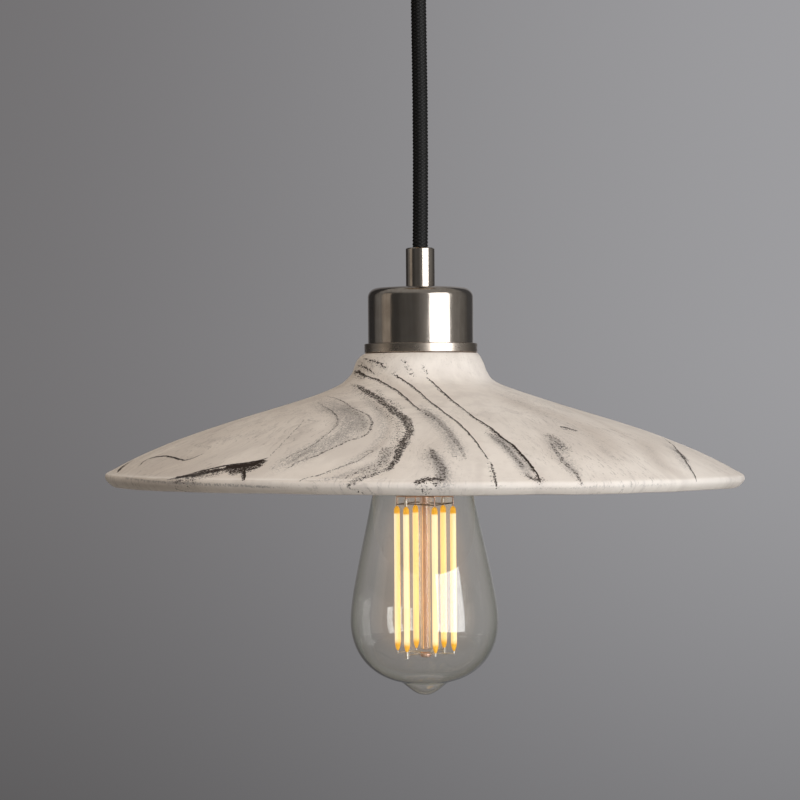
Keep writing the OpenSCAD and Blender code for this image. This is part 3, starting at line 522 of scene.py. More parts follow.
def braided_cord():
    """A tube along the cord's route, with the crossing strands of its braid raised."""
    rings, sides = 480, 84
    route = np.array(CORD_ROUTE, float)
    height = np.linspace(route[0, 2] - TUCKED_IN, route[-1, 2] + TUCKED_IN, rings)
    middle = np.interp(height, route[:, 2], route[:, 0])
    turn = np.arange(sides) * math.tau / sides
    rows = np.cos(math.tau * height / STRAND_PITCH)
    weave = 0.5 * np.abs(np.cos(STRAND_COLUMNS * turn)[None, :] + rows[:, None])
    past_end = np.maximum(0, np.maximum(route[0, 2] - height, height - route[-1, 2]))
    round_end = np.sqrt(np.maximum(0.05, 1 - (past_end / CORD_RADIUS) ** 2))
    radius = (CORD_RADIUS + BRAID_RELIEF * (1.3 * weave - 1)) * round_end[:, None]
    upright = np.repeat(height[:, None], sides, 1)
    points = np.stack([middle[:, None] + radius * np.cos(turn), radius * np.sin(turn), upright], -1)
    faces = []
    for low in range(0, (rings - 1) * sides, sides):
        for k in range(sides):
            after = (k + 1) % sides
            faces.append((low + k, low + after, low + sides + after, low + sides + k))
    faces += [tuple(reversed(range(sides))), tuple(range((rings - 1) * sides, rings * sides))]
    mesh = bpy.data.meshes.new("braided_cord")
    mesh.from_pydata((points.reshape(-1, 3) * MM).tolist(), [], faces)
    piece = bpy.data.objects.new("braided_cord", mesh)
    scene.collection.objects.link(piece)
    keep(piece, "raised", weave.reshape(-1))
    pick(piece)
    bpy.ops.object.shade_smooth()
    return piece


cord = settle(braided_cord(), "braided_cord", "cord", "black_braid", ["cord"], braid())

# Lampholder cover and its ring

COVER_RADIUS = 22.95
COVER_TOP = -173.5
COVER_CROWN = 0.8
COVER_CORNER = 4.2
COVER_WALL = 0.7
COVER_BOTTOM = -198.55
RING_RADIUS = 24.55
RING_BOTTOM = -202.45
RING_HOLE = 20.6
STEM_HOLE = 5.05
CROWN_START = 6.5
TURNED_STEPS = 192


def rounded(centre, radius, start, end, count):
    """Points of an arc, its angles in degrees."""
    turn = np.radians(np.linspace(start, end, count))
    return [(centre[0] + radius * math.cos(t), centre[1] + radius * math.sin(t)) for t in turn]


corner_r = COVER_RADIUS - COVER_CORNER
corner_z = COVER_TOP - COVER_CROWN - COVER_CORNER
inner_r = COVER_RADIUS - COVER_WALL
crown_z = COVER_TOP - COVER_CROWN
crown = curve((CROWN_START, COVER_TOP), (10, COVER_TOP - 0.1), (15, crown_z), (corner_r, crown_z), 8)
cover_outline = [(STEM_HOLE, COVER_TOP), (CROWN_START, COVER_TOP), *crown[:-1].tolist()]
cover_outline += rounded((corner_r, corner_z), COVER_CORNER, 88, 2, 16)
cover_outline += [(COVER_RADIUS, corner_z - 1), (COVER_RADIUS, COVER_BOTTOM + 0.25)]
cover_outline += rounded((COVER_RADIUS - 0.2, COVER_BOTTOM + 0.2), 0.2, 0, -90, 4)
cover_outline += [(inner_r, COVER_BOTTOM), (inner_r, corner_z)]
cover_outline += rounded((corner_r, corner_z), COVER_CORNER - COVER_WALL, 2, 88, 10)
cover_outline += [(STEM_HOLE, COVER_TOP - COVER_WALL)]
cover = turned(cover_outline, TURNED_STEPS, smooth=30)
settle(cover, "drawn_cover", "lamp", "satin_nickel", ["lampholder_cover"])

brushed_nickel = worn_metal(
    "brushed_nickel", (0.68, 0.60, 0.52), (0.50, 0.43, 0.36), 0.24, grain=(0.05, 0.05, 1), bump=0.00003
)
ring_outline = [(RING_HOLE, COVER_BOTTOM), (RING_RADIUS - 0.5, COVER_BOTTOM)]
ring_outline += rounded((RING_RADIUS - 0.3, COVER_BOTTOM - 0.3), 0.3, 80, 0, 5)
ring_outline += rounded((RING_RADIUS - 0.25, RING_BOTTOM + 0.25), 0.25, 0, -80, 5)
ring_outline += [(RING_HOLE, RING_BOTTOM)]
ring = turned(ring_outline, TURNED_STEPS, smooth=30)
settle(ring, "turned_ring", "lamp", "satin_nickel", ["cover_ring"], brushed_nickel)

# Clay shade

SHADE_TOP = -202.8
SHADE_RADIUS = 138.05
SHADE_STEPS = 560
CLAY = 5.0
SLOPE = [(36.1, 14), (60.56, 24.53), (99.5, 31.0), (133.4, 49.8)]
UNDER_END = 127.0
# How far the clay is out of true, and between which radii
COLLAR_EDGE = 24.6
COLLAR_EASE = 2.5
COLLAR_FADE = 8
COLLAR_END = 40
SLOPE_START = 32
SLOPE_EASE = 16
COLLAR_SHIFT = -0.65
RIM_SHIFT = 1.2
RIM_DROP = 1.0
SWELL = 1.1
SWELL_SCALE = 0.045


def shade_outline():
    """The clay's section as radius and height: top, outside, lip, underside and hole."""
    shoulder = curve((24.4, 0), (25.5, 0.4), (26.9, 2.1), (27.7, 3.9), 12)
    waist = curve((27.7, 3.9), (28.4, 5.5), (28.7, 7.4), (29.9, 9.2), 10)
    foot = curve((29.9, 9.2), (31.3, 11.3), (33.4, 12.8), SLOPE[0], 10)
    slope = curve(*SLOPE, 60)
    bevel = curve(SLOPE[3], (134.9, 50.6), (136.4, 51.3), (137.2, 51.8), 8)
    lip = curve((137.2, 51.8), (138.0, 52.3), (138.2, 53.0), (138.0, 54.1), 8)
    lip_band = curve((138.0, 54.1), (137.7, 54.9), (136.6, 56.0), (135.8, 56.6), 8)
    lip_under = curve((135.8, 56.6), (135.2, 57.2), (134.4, 57.3), (133.4, 57.0), 8)
    lip_inside = curve((133.4, 57.0), (131.9, 56.5), (130.6, 55.0), (129.3, 53.6), 8)
    under = beside_line(curve(*SLOPE, 34), CLAY)
    under = under[under[:, 0] < UNDER_END][::-1]
    start = under[-1]
    pocket = curve(start, start + (-3.8, -1.7), (23.9, 12.5), (23.9, 9.5), 8)
    seat = [(23.9, 6.5), (20.2, 6.5), (20.2, 0)]
    sections = [shoulder, waist, foot, slope, bevel, lip, lip_band, lip_under, lip_inside, under]
    depths = np.vstack([(24.4, 0), *sections, pocket, seat])
    return [(float(r), float(SHADE_TOP - d)) for r, d in depths]


def push(piece, weights, direction, strength, texture=None):
    """Moves a piece's vertices along an axis by their weights, as a thumb pushes soft clay."""
    group = piece.vertex_groups.new(name="push")
    for level in np.unique(weights):
        group.add(np.flatnonzero(weights == level).tolist(), float(level), "REPLACE")
    modifier = piece.modifiers.new("push", "DISPLACE")
    modifier.vertex_group = "push"
    modifier.direction = direction
    modifier.mid_level = 0.5 if texture else 0.0
    modifier.strength = strength * MM
    modifier.texture = texture
    modifier.texture_coords = "LOCAL"
    pick(piece)
    bpy.ops.object.modifier_apply(modifier="push")
    piece.vertex_groups.clear()


shade = turned(shade_outline(), SHADE_STEPS, smooth=60)
settle(shade, "clay_shade", "lamp", "marbled_clay", ["ceramic_shade"])

# The thrown clay isn't quite true: its collar leans, its rim stands to one side and hangs lower there
place = corners(shade)
reach = np.hypot(place[:, 0], place[:, 1])
sideways = place[:, 0] / SHADE_RADIUS
past_collar = reach > 30
collar = np.clip((reach - COLLAR_EDGE) / COLLAR_EASE, 0, 1)
collar *= np.clip((COLLAR_END - reach) / COLLAR_FADE, 0, 1)
push(shade, hundredths(collar), "X", COLLAR_SHIFT)
push(shade, hundredths((reach - SLOPE_START) / SLOPE_EASE), "X", RIM_SHIFT)
push(shade, hundredths(-sideways) * past_collar, "Z", RIM_DROP)
push(shade, hundredths(sideways) * past_collar, "Z", -RIM_DROP)
swell = bpy.data.textures.new("swell", "CLOUDS")
swell.noise_scale = SWELL_SCALE
outer_share = (reach - SLOPE_START) / (SHADE_RADIUS - SLOPE_START)
push(shade, hundredths(outer_share), "Z", SWELL, swell)

# Veins in the clay

# Each vein: its layer, half its width in millimetres, how solid it is, and its route in the view
SEEN_VEINS = [
    ("a", 3.2, 0.62, [
        (349, 383.6), (360, 387), (366, 391), (373, 395), (380, 400.6), (388, 406.6), (396, 413),
        (403.6, 417.6), (408, 424), (410, 430.6), (406, 437), (403, 444), (399, 452), (395.4, 461),
        (389, 469), (382, 472),
    ]),
    ("b", 1.9, 0.5, [(392, 464), (380, 472.5), (366, 477.6), (354, 482), (344, 485)]),
    ("c", 0.52, 0.76, [
        (355, 371), (359, 372.4), (363, 374.6), (369, 377), (376, 379), (382, 382), (388, 385.5),
        (397, 390.5), (406, 398), (415, 406), (424, 413), (434, 421),
    ]),
    ("a", 1.0, 0.7, [(354, 371.5), (358.5, 372), (362, 374.4), (366, 376.4)]),
    ("b", 0.5, 0.62, [(356.5, 366), (361.4, 365.6), (366.8, 368.4), (371, 371), (376.5, 374.4)]),
    ("a", 0.9, 0.55, [(362, 358.4), (370, 359.6), (376, 362.7), (382, 365.4), (388, 368.6)]),
    ("b", 0.45, 0.84, [
        (391, 373), (395.4, 374.8), (401.6, 378.8), (408.8, 383.3), (415, 388.6), (424, 396.4),
        (434, 404.6), (448, 415), (460, 424), (473.5, 438), (485, 454), (491.5, 463),
    ]),
    ("b", 0.9, 0.56, [(489, 459), (493, 468), (495, 480), (496, 490)]),
    ("a", 0.52, 0.8, [(426, 376), (434.4, 384), (448, 396.6), (462, 408), (472, 415)]),
    ("a", 0.85, 0.78, [
        (462, 408), (478, 419.5), (492, 428.7), (501, 437), (512.5, 445), (521.7, 454), (531, 465.4),
        (538, 475.8), (541, 487),
    ]),
    ("c", 2.2, 0.43, [(422, 408), (430, 414), (439, 422), (446, 429), (458, 445), (467, 462)]),
    ("c", 2.8, 0.5, [(430, 447), (436, 458), (442, 468), (444, 480)]),
    ("b", 2.4, 0.6, [(412, 484.5), (422, 481), (434, 478.5), (446, 481)]),
    ("c", 1.9, 0.5, [
        (549, 440), (554, 448), (559, 456), (565, 463), (573, 470), (578, 477), (583, 486),
    ]),
    ("b", 1.7, 0.64, [(558, 426), (568, 428.4), (579, 431.6)]),
    ("b", 0.45, 0.76, [(662, 437), (673, 445), (680, 454), (687, 463), (694, 474), (697, 482)]),
    ("c", 0.8, 0.52, [
        (322, 395), (334, 398), (344, 402), (352, 408), (362, 412), (369, 416), (371.6, 422),
        (370, 430), (364, 436), (356, 438.6), (347, 441), (340, 445), (329, 449.4), (319.5, 454.7),
        (310, 458.3), (300, 461), (290, 467), (276, 475),
    ]),
    ("b", 0.7, 0.5, [
        (316, 401), (322, 405), (328.4, 409), (334.6, 413.6), (338, 420), (334.6, 428), (328, 433.4),
        (321, 438.6), (313, 445), (302, 450.7), (290, 456), (276, 465),
    ]),
    ("a", 0.5, 0.55, [
        (296, 484), (302, 479.7), (310.5, 477), (320.4, 474.8), (330, 471), (340, 467), (349, 464),
        (359.6, 460), (369.5, 453), (380, 450),
    ]),
    ("a", 0.55, 1.0, [
        (166, 479.4), (178, 477.8), (186.4, 475.5), (198.6, 471.5), (210.5, 468.8), (222.6, 465.8),
        (234.6, 464.1), (250, 462), (262, 459.4), (271, 456.6),
    ]),
    ("c", 2.7, 0.74, [(172, 478.6), (188, 476.2), (204, 473.2), (218, 470.4), (238, 466.4)]),
    ("b", 2.8, 1.1, [(226, 466.6), (236, 466.6), (246, 465.6), (256, 462.8), (266, 458.6)]),
    ("c", 0.8, 1.0, [(244, 463), (244.6, 471), (243.6, 481)]),
    ("c", 0.42, 1.0, [
        (138, 467), (143, 462), (149, 458.6), (157, 456.6), (166, 456), (174, 457.2), (184, 460),
        (193, 458), (206, 452.6),
    ]),
    ("a", 1.2, 0.85, [(117, 473), (121, 468), (127, 463.5), (134, 460)]),
    ("a", 0.4, 0.46, [(271, 455.4), (277.5, 448.3), (291, 434), (306, 418)]),
]
# Soft grey bands, and one painted shadow line along the lip on the left: half width, strength, route
SEEN_BANDS = [
    (6.5, 1.0, [
        (308, 398), (322, 401), (333, 407.7), (347, 413.7), (353.4, 421.5), (349, 430.4), (335.5, 438.7),
        (318, 447), (298, 457), (280, 467), (264, 480),
    ]),
    (3.5, 0.55, [
        (352, 390), (366, 399), (378, 412), (384, 426), (380, 440), (366, 454), (340, 468), (318, 482),
    ]),
    (4.0, 0.5, [(392, 440), (386, 456), (374, 468), (352, 480)]),
    (4.2, 0.85, [(414, 401), (428, 413), (442, 427), (455, 445), (466, 464)]),
    (3.6, 1.0, [(428, 446), (436, 458), (442, 470), (443, 482), (430, 484)]),
    (3.4, 0.9, [(486, 429), (500, 441), (513, 454), (524, 467), (534, 482)]),
    (4.5, 0.55, [(546, 430), (556, 446), (568, 462), (578, 484)]),
    (4.0, 0.55, [(664, 441), (680, 456), (692, 476)]),
    (4.0, 0.34, [(484, 381), (515, 399), (560, 422), (595, 440), (612, 459), (610, 474)]),
    (3.6, 0.34, [(641, 438), (650, 450), (660, 464), (682, 472)]),
    (2.6, 0.45, [(490, 390), (506, 397), (520, 402), (536, 407)]),
    (5.0, 0.35, [(190, 446), (215, 440), (245, 436), (268, 424)]),
    (2.2, 0.6, [(384, 456), (372, 463), (358, 470), (342, 476), (322, 480), (304, 483)]),
    # Painted shadow line where the slope meets the lip, on the left
    (0.6, 0.95, [
        (110, 477.4), (124, 478), (137, 479.4), (150, 481.4), (173, 482.6), (210, 484.4), (235, 485.4),
        (257, 486.6), (277, 487.6), (300, 488.6),
    ]),
    (0.6, 0.42, [(470, 488.4), (530, 488.8), (572, 488), (620, 485.8), (660, 484.8), (704, 483)]),
]
# Patches of flecks: half width, strength, route
SEEN_FLECKS = [
    (5.0, 0.75, [(390, 442), (386, 452), (384, 462), (374, 472)]),
    (3.0, 0.8, [(478, 425), (494, 437), (508, 449), (521, 464), (532, 480)]),
    (5.0, 0.8, [(545, 431), (553, 438), (562, 447), (570, 456)]),
    (3.5, 0.82, [(431, 450), (438, 462), (442, 474), (434, 482), (420, 484)]),
    (3.5, 0.62, [(336, 402), (352, 410), (362, 420)]),
    (3.0, 0.66, [(380, 394), (394, 404), (404, 414)]),
    (2.2, 0.98, [(672, 447), (679, 453), (684, 457), (690, 465)]),
    (4.0, 0.7, [(344, 482), (362, 476), (378, 468), (390, 456)]),
    (4.0, 0.66, [(330, 400), (346, 409), (362, 418), (362, 430), (344, 439)]),
    (2.4, 0.68, [(372, 386), (384, 398), (392, 410)]),
    (2.2, 0.66, [(320, 446), (300, 456), (282, 468)]),
    (2.0, 0.66, [(398, 358), (404, 362), (410, 372), (416, 380)]),
    (1.6, 0.72, [(421, 362), (424, 369), (428, 377)]),
    (2.6, 0.9, [(520, 468), (530, 477), (540, 480), (548, 478)]),
    (2.4, 0.72, [(388, 458), (376, 464), (362, 470.6), (348, 476.6), (330, 481)]),
]
# Smooth brown-grey tones, and painted shade on the lip's left part: half width, strength, route
SEEN_TONES = [
    (8.0, 0.9, [(478, 384), (506, 398), (536, 410), (565, 419), (594, 433), (611, 454), (606, 474)]),
    (2.4, 0.6, [(500, 384), (536, 396), (575, 411), (612, 428), (640, 446)]),
    (6.0, 0.7, [(640, 437), (650, 450), (662, 466), (684, 474)]),
    (1.6, 0.8, [(366, 398), (378, 405), (387, 415), (390, 426), (386, 438), (374, 450), (352, 461)]),
    (1.2, 0.6, [(374, 400), (386, 409), (395, 420), (397, 430), (393, 442)]),
    (2.6, 0.7, [(372, 372), (388, 380), (404, 391), (420, 404)]),
    # Painted shade on the lip's left part, where it turns away from the light
    (1.8, 0.8, [(114, 482), (160, 487), (220, 489.6), (290, 491.6), (340, 493)]),
]
# The side away from the camera, in degrees about the axis and millimetres from it
FAR_VEINS = [
    ("b", 0.42, 0.92, [(122, 28), (116, 44), (104, 60), (95, 78), (92, 98), (97, 118), (106, 139)]),
    ("a", 2.6, 0.58, [(132, 34), (126, 50), (115, 66), (107, 84), (105, 104), (110, 122), (120, 137)]),
    ("c", 0.4, 0.85, [(98, 30), (90, 46), (80, 62), (72, 80), (70, 100), (76, 120), (84, 138)]),
    ("a", 0.6, 0.8, [(74, 33), (66, 50), (57, 68), (52, 88), (54, 108), (62, 128)]),
    ("c", 3.0, 0.56, [(58, 44), (49, 60), (41, 78), (37, 98), (40, 118), (48, 136)]),
    ("b", 0.5, 0.66, [(40, 40), (30, 60), (24, 84), (26, 108), (34, 130)]),
    ("a", 0.5, 0.7, [(20, 52), (12, 76), (10, 100), (16, 124)]),
    ("c", 0.6, 0.52, [(140, 48), (148, 62), (154, 78), (152, 94), (142, 108), (132, 124), (128, 138)]),
    ("b", 0.7, 0.5, [(150, 52), (160, 68), (166, 86), (163, 104), (152, 120), (142, 136)]),
    ("a", 1.3, 0.72, [(164, 112), (160, 122), (157, 130), (156, 138)]),
    ("c", 0.42, 0.8, [(176, 66), (172, 82), (174, 98), (170, 112), (172, 128)]),
]
FAR_BANDS = [
    (5.0, 0.8, [(144, 50), (154, 66), (160, 84), (156, 102), (144, 118), (134, 134)]),
    (4.0, 0.7, [(118, 44), (107, 62), (100, 82), (98, 104), (103, 126)]),
    (4.5, 0.7, [(86, 46), (76, 66), (68, 88), (68, 110), (74, 132)]),
    (3.5, 0.9, [(50, 66), (43, 84), (41, 104), (45, 124)]),
    (5.0, 0.5, [(26, 50), (18, 90), (24, 132)]),
    (4.0, 0.5, [(168, 60), (166, 90), (168, 120)]),
]
FAR_FLECKS = [
    (4.0, 0.7, [(124, 52), (112, 72), (106, 96), (112, 120)]),
    (4.0, 0.74, [(46, 70), (42, 90), (42, 110), (46, 128)]),
    (3.5, 0.66, [(150, 60), (158, 78), (156, 98), (146, 114)]),
    (3.0, 0.66, [(82, 52), (74, 72), (70, 94), (73, 116)]),
]


# Places on a smooth line from one of its points to the next
BETWEEN = 5
# Points of the outline from the top to the lip
OUTSIDE_POINTS = 92
UNDER_REACH = 132
UNDER_DEPTH = 2
# How many half widths a vein reaches, and how much further its vertices are looked for
VEIN_REACH = 6
SEARCH_MARGIN = 4
NO_INK = 30.0
RAGGED_SEED = 11
RAGGED_BY = 0.16
# A painted highlight along the top of the lip, in millimetres
HIGHLIGHT_RADIUS = 137.2
HIGHLIGHT_HALF = 1.3
HIGHLIGHT_DEPTH = 2.2
# How the veins turn the marbling, in millimetres, and how it closes up at the collar
MARK_EVERY = 3
PULL_SOFTENING = 4
PULL_REACH = 70
FLOW_RADIUS = 75
FLOW_LEAST = 0.25


def flowing(points):
    """A smooth line through points."""
    p = np.array(points, float)
    p = np.vstack([2 * p[0] - p[1], p, 2 * p[-1] - p[-2]])
    line = []
    for a, b, c, d in zip(p, p[1:], p[2:], p[3:]):
        for t in np.arange(BETWEEN) / BETWEEN:
            bend = (2 * a - 5 * b + 4 * c - d) * t**2 + (3 * b - a - 3 * c + d) * t**3
            line.append(b + 0.5 * ((c - a) * t + bend))
    return np.array([*line, p[-2]])


def on_shade(origin, direction):
    """The place in millimetres where a ray meets the clay, or nothing."""
    hit, where, _, _ = shade.ray_cast(origin, direction)
    return where / MM if hit else None


def seen_on_shade(route):
    """Where a route in the view lies on the clay."""
    px = SENSOR_MM / FRAME_PX
    middle = FRAME_PX / 2
    view = camera.matrix_world
    rays = [Vector(((x - middle) * px, (middle - y) * px, -LENS_MM)) for x, y in flowing(route)]
    found = [on_shade(view.translation, view.to_3x3() @ ray) for ray in rays]
    return np.array([place for place in found if place])


def far_on_shade(route):
    """Where a route of angles and radii lies on the clay, from above."""
    found = []
    for angle, radius in flowing(route):
        a = math.radians(angle)
        above = Vector((radius * math.cos(a), radius * math.sin(a), -100)) * MM
        found.append(on_shade(above, Vector((0, 0, -1))))
    return np.array([place for place in found if place])


bpy.context.view_layer.update()
place = corners(shade)
reach = np.hypot(place[:, 0], place[:, 1])
# The marbling goes right through the clay, so the underside takes its veins from the outside above it
outside = np.array(shade_outline())[:OUTSIDE_POINTS]
top_height = np.interp(reach, outside[:, 0], outside[:, 1])
veined = place.copy()
below = (reach < UNDER_REACH) & (place[:, 2] < top_height - UNDER_DEPTH)
veined[below, 2] = top_height[below]


def near_line(line, width):
    """For the vertices near a line: their numbers, signed distances from it and shares of its length."""
    margin = VEIN_REACH * width + SEARCH_MARGIN
    near = np.flatnonzero(((veined > line.min(0) - margin) & (veined < line.max(0) + margin)).all(1))
    points = veined[near]
    best = np.full(len(near), np.inf)
    side = np.ones(len(near))
    along = np.zeros(len(near))
    count = len(line) - 1
    for i in range(count):
        a, step = line[i], line[i + 1] - line[i]
        t = np.clip((points - a) @ step / (step @ step + 1e-9), 0, 1)
        away = points - a - t[:, None] * step
        gap = np.linalg.norm(away, axis=1)
        closer = gap < best
        best[closer] = gap[closer]
        side[closer] = np.where(step[0] * away[closer, 1] >= step[1] * away[closer, 0], 1, -1)
        along[closer] = (i + t[closer]) / count
    return near, best * side, along


def faded(along, ends):
    """1 along a vein and 0 at its two ends."""
    return np.clip(along / ends, 0, 1) * np.clip((1 - along) / ends, 0, 1)


def laid_on_shade(seen, far):
    """Marks on the near and the far side, with their routes laid on the clay."""
    laid = [(*mark[:-1], seen_on_shade(mark[-1])) for mark in seen]
    return laid + [(*mark[:-1], far_on_shade(mark[-1])) for mark in far]


routes = laid_on_shade(SEEN_VEINS, FAR_VEINS)
ragged = np.random.default_rng(RAGGED_SEED)
routes = [(*vein[:3], vein[3] + ragged.normal(0, RAGGED_BY, vein[3].shape)) for vein in routes]
layers = {name: (np.full(len(place), NO_INK), np.zeros(len(place))) for name in VEIN_LAYERS}
for layer, width, solid, line in routes:
    across, ink = layers[layer]
    near, gap, along = near_line(line, width)
    shape = faded(along, 0.3)
    spread = gap / (width * (0.4 + 0.6 * shape))
    near_enough = np.clip((VEIN_REACH - np.abs(gap) / width) / 1.5, 0, 1)
    strength = solid * faded(along, 0.07) ** 0.4 * near_enough
    take = np.abs(spread) < np.abs(across[near])
    across[near[take]] = spread[take]
    ink[near[take]] = strength[take]
for name, (across, ink) in layers.items():
    keep(shade, "across_" + name, np.clip(across, -NO_INK, NO_INK))
    keep(shade, "ink_" + name, ink)

# A painted highlight: the clay is paler along the top of the lip
from_highlight = (reach - sideways * RIM_SHIFT - HIGHLIGHT_RADIUS) / HIGHLIGHT_HALF
keep(shade, "rim", np.exp(-from_highlight**2) * (place[:, 2] > top_height - HIGHLIGHT_DEPTH))

soft_marks = {
    "wash_and_painted_shade": (SEEN_BANDS, FAR_BANDS),
    "grain": (SEEN_FLECKS, FAR_FLECKS),
    "tone_and_painted_shade": (SEEN_TONES, []),
}
for name, (seen, far) in soft_marks.items():
    amount = np.zeros(len(place))
    for width, strength, line in laid_on_shade(seen, far):
        near, gap, along = near_line(line, width)
        soft = strength * np.exp(-((gap / width) ** 2)) * faded(along, 0.22)
        amount[near] = np.maximum(amount[near], soft)
    keep(shade, name, amount)

# Which way the marbling runs: an angle round the shade that stays the same along each vein
bearing = np.arctan2(veined[:, 1], veined[:, 0])
turning = np.zeros(len(place))
weight = np.full(len(place), 1 / PULL_REACH**2)
for _, _, _, line in routes:
    marks = line[::MARK_EVERY]
    own = np.unwrap(np.arctan2(marks[:, 1], marks[:, 0]))
    gaps = np.linalg.norm(veined[:, None, :] - marks[None, :, :], axis=2)
    closest = gaps.argmin(1)
    pull = 1 / (gaps.min(1) + PULL_SOFTENING) ** 2
    turning += pull * (own.mean() - own[closest])
    weight += pull
bearing += turning / weight
calm = np.clip(reach / FLOW_RADIUS, FLOW_LEAST, 1)
flow = np.column_stack([calm * np.cos(bearing), calm * np.sin(bearing), np.zeros(len(place))])
shade.data.attributes.new("flow", "FLOAT_VECTOR", "POINT").data.foreach_set("vector", flow.ravel())

# Bulb

# The tip of the bulb's cap, from which the depths of its glass count
BULB_TIP = -211.2
GLASS = 0.9
GLASS_LEAN = 0.85
LEAN_START = BULB_TIP - 20
LEAN_LENGTH = 110
CAGE = (1.2, 0.0)
CAGE_RADIUS = 12.4
CAGE_TURN = -11
FILAMENTS = 6
TABBED = (1, 4)
FILAMENT_TOP = -269.2
FILAMENT_END = -332.2
FILAMENT_RADIUS = 1.28
# The strips glow between these depths from their ends
UNLIT_TOP = 3.0
UNLIT_END = 3.7
LOWER_WIRE = FILAMENT_END - 1.0
UPPER_WIRE = FILAMENT_TOP + 1.0
COPPER_WIRE = -265.0
FRAME_STAGGER = 0.35
TAB_SIZE = (1.3, 0.9, 3.2)
TAB_BEVEL = 0.00015


def envelope_outline():
    """The blown glass from its sealed tip up the outside to the neck and back down inside."""
    neck = curve((11.6, 26.5), (12.8, 34), (19.07, 39.5), (22.7, 55.7), 18)
    side = curve((22.7, 55.7), (26.4, 74.96), (32.2, 96.4), (32.2, 107.9), 26)
    base = curve((32.2, 107.9), (32.2, 119.6), (25.5, 130.9), (11.6, 134.0), 28)
    nose = curve((11.6, 134.0), (8.0, 134.8), (5.6, 140.0), (0, 140.0), 18)
    outer = np.vstack([[(11.6, 19.5), (11.6, 26.5)], neck, side, base, nose])
    inner = beside_line(np.vstack([[(11.6, 26.5)], neck, side, base, nose]), GLASS)
    inner = np.vstack([[(10.7, 19.5)], inner[inner[:, 0] > 0.4], [(0, 140.0 - GLASS)]])
    return [(max(0.0, float(r)), float(BULB_TIP - d)) for r, d in np.vstack([outer[::-1], inner])]


envelope = turned(envelope_outline(), 160, closed=False)
settle(envelope, "glass_envelope", "bulb", "clear_glass", ["bulb_glass"])
# The blown glass leans a little in its cap
lean = np.sqrt(np.clip((LEAN_START - corners(envelope)[:, 2]) / LEAN_LENGTH, 0, 1))
push(envelope, hundredths(lean), "X", GLASS_LEAN)

flare = curve((10.4, -233.2), (9.2, -236), (3.2, -240.5), (2.25, -253), 10)
tube_wall = [(1.45, -330.8), (1.45, -262.0), (2.2, -250), (8.6, -234.6), (9.7, -232.6), (10.3, -231.8)]
stem_outline = [(10.4, -232.4), *flare.tolist(), (2.25, -331.0), (1.9, -331.4), *tube_wall]
settle(turned(stem_outline, 56, axis=CAGE), "glass_stem", "bulb", "stem_glass", ["bulb_stem"])
pink_glass = moulded("pink_glass", (0.92, 0.70, 0.60), (0.84, 0.58, 0.48), 0.2)
copper = worn_metal("copper_wire", (0.98, 0.76, 0.66), (0.88, 0.56, 0.44), 0.5)
rod_outline = [(0, -330.6), (0.9, -330.5), (1.0, -330.0), (1.0, -252.0), (0.8, -251.2), (0, -251.0)]
settle(turned(rod_outline, 24, closed=False, axis=CAGE), "inner_rod", "bulb", material=pink_glass)

turns = [math.radians(CAGE_TURN + 360 / FILAMENTS * i) for i in range(FILAMENTS)]
stations = [(CAGE[0] + CAGE_RADIUS * math.cos(t), CAGE[1] + CAGE_RADIUS * math.sin(t)) for t in turns]


def filament(station):
    """One strip of the cage: a rod with a blunt upper end and a tapered lower one."""
    top_end = [(0, 0), (0.35, 0.05), (0.8, 0.4), (1.15, 1.1), (FILAMENT_RADIUS, 2.0)]
    low_end = [(FILAMENT_RADIUS, 4.0), (1.2, 2.8), (0.95, 1.6), (0.6, 0.7), (0.3, 0.1), (0, 0)]
    outline = [(r, FILAMENT_TOP - d) for r, d in top_end]
    outline += [(FILAMENT_RADIUS, FILAMENT_TOP - d) for d in (2.9, 3.1, 3.6, 24)]
    outline += [(FILAMENT_RADIUS, FILAMENT_END + d) for d in (24, 5.2)]
    outline += [(r, FILAMENT_END + d) for r, d in low_end]
    return turned(outline, 24, closed=False, axis=station)


strips = joined([filament(station) for station in stations])
settle(strips, "filament_strips", "bulb", "glowing_filament", ["bulb_filaments"])
on_strip = corners(strips)
below_top = FILAMENT_TOP - UNLIT_TOP - on_strip[:, 2]
above_end = on_strip[:, 2] - FILAMENT_END - UNLIT_END
keep(strips, "lit", np.clip(np.minimum(below_top, above_end) / 0.5, 0, 1))
outward = np.zeros(len(on_strip))
for turn, station in zip(turns, stations):
    away = on_strip[:, :2] - station
    own = np.hypot(away[:, 0], away[:, 1]) < 1.6
    outward[own] = 0.5 + 0.5 * (away[own] @ (math.cos(turn), math.sin(turn))) / FILAMENT_RADIUS
keep(strips, "outward", outward)

dark_wire = worn_metal("dark_wire", (0.16, 0.14, 0.13), (0.06, 0.055, 0.05), 0.45)
silver_wire = worn_metal("silver_wire", (0.90, 0.88, 0.85), (0.72, 0.69, 0.65), 0.30)


def spoke(turn, height, inner, outer, bow, radius):
    """A support wire from the stem out to a filament, bowed a little."""
    points = []
    for share in (0, 0.25, 0.5, 0.75, 1.0):
        r = inner + (outer - inner) * share
        rise = bow * math.sin(math.pi * share)
        points.append((CAGE[0] + r * math.cos(turn), CAGE[1] + r * math.sin(turn), height + rise))
    return drawn_wire(points, radius)


def tab(station, turn, height):
    """The flat metal tongue that a filament is welded to."""
    deselect()
    bpy.ops.mesh.primitive_cube_add(
        size=START_SIZE, location=(station[0] * MM, station[1] * MM, height * MM), rotation=(0, 0, turn)
    )
    bpy.ops.object.mode_set(mode="EDIT")
    bpy.ops.transform.resize(value=TAB_SIZE)
    bpy.ops.mesh.bevel(offset=TAB_BEVEL, segments=2)
    bpy.ops.object.mode_set(mode="OBJECT")
    return bpy.context.object


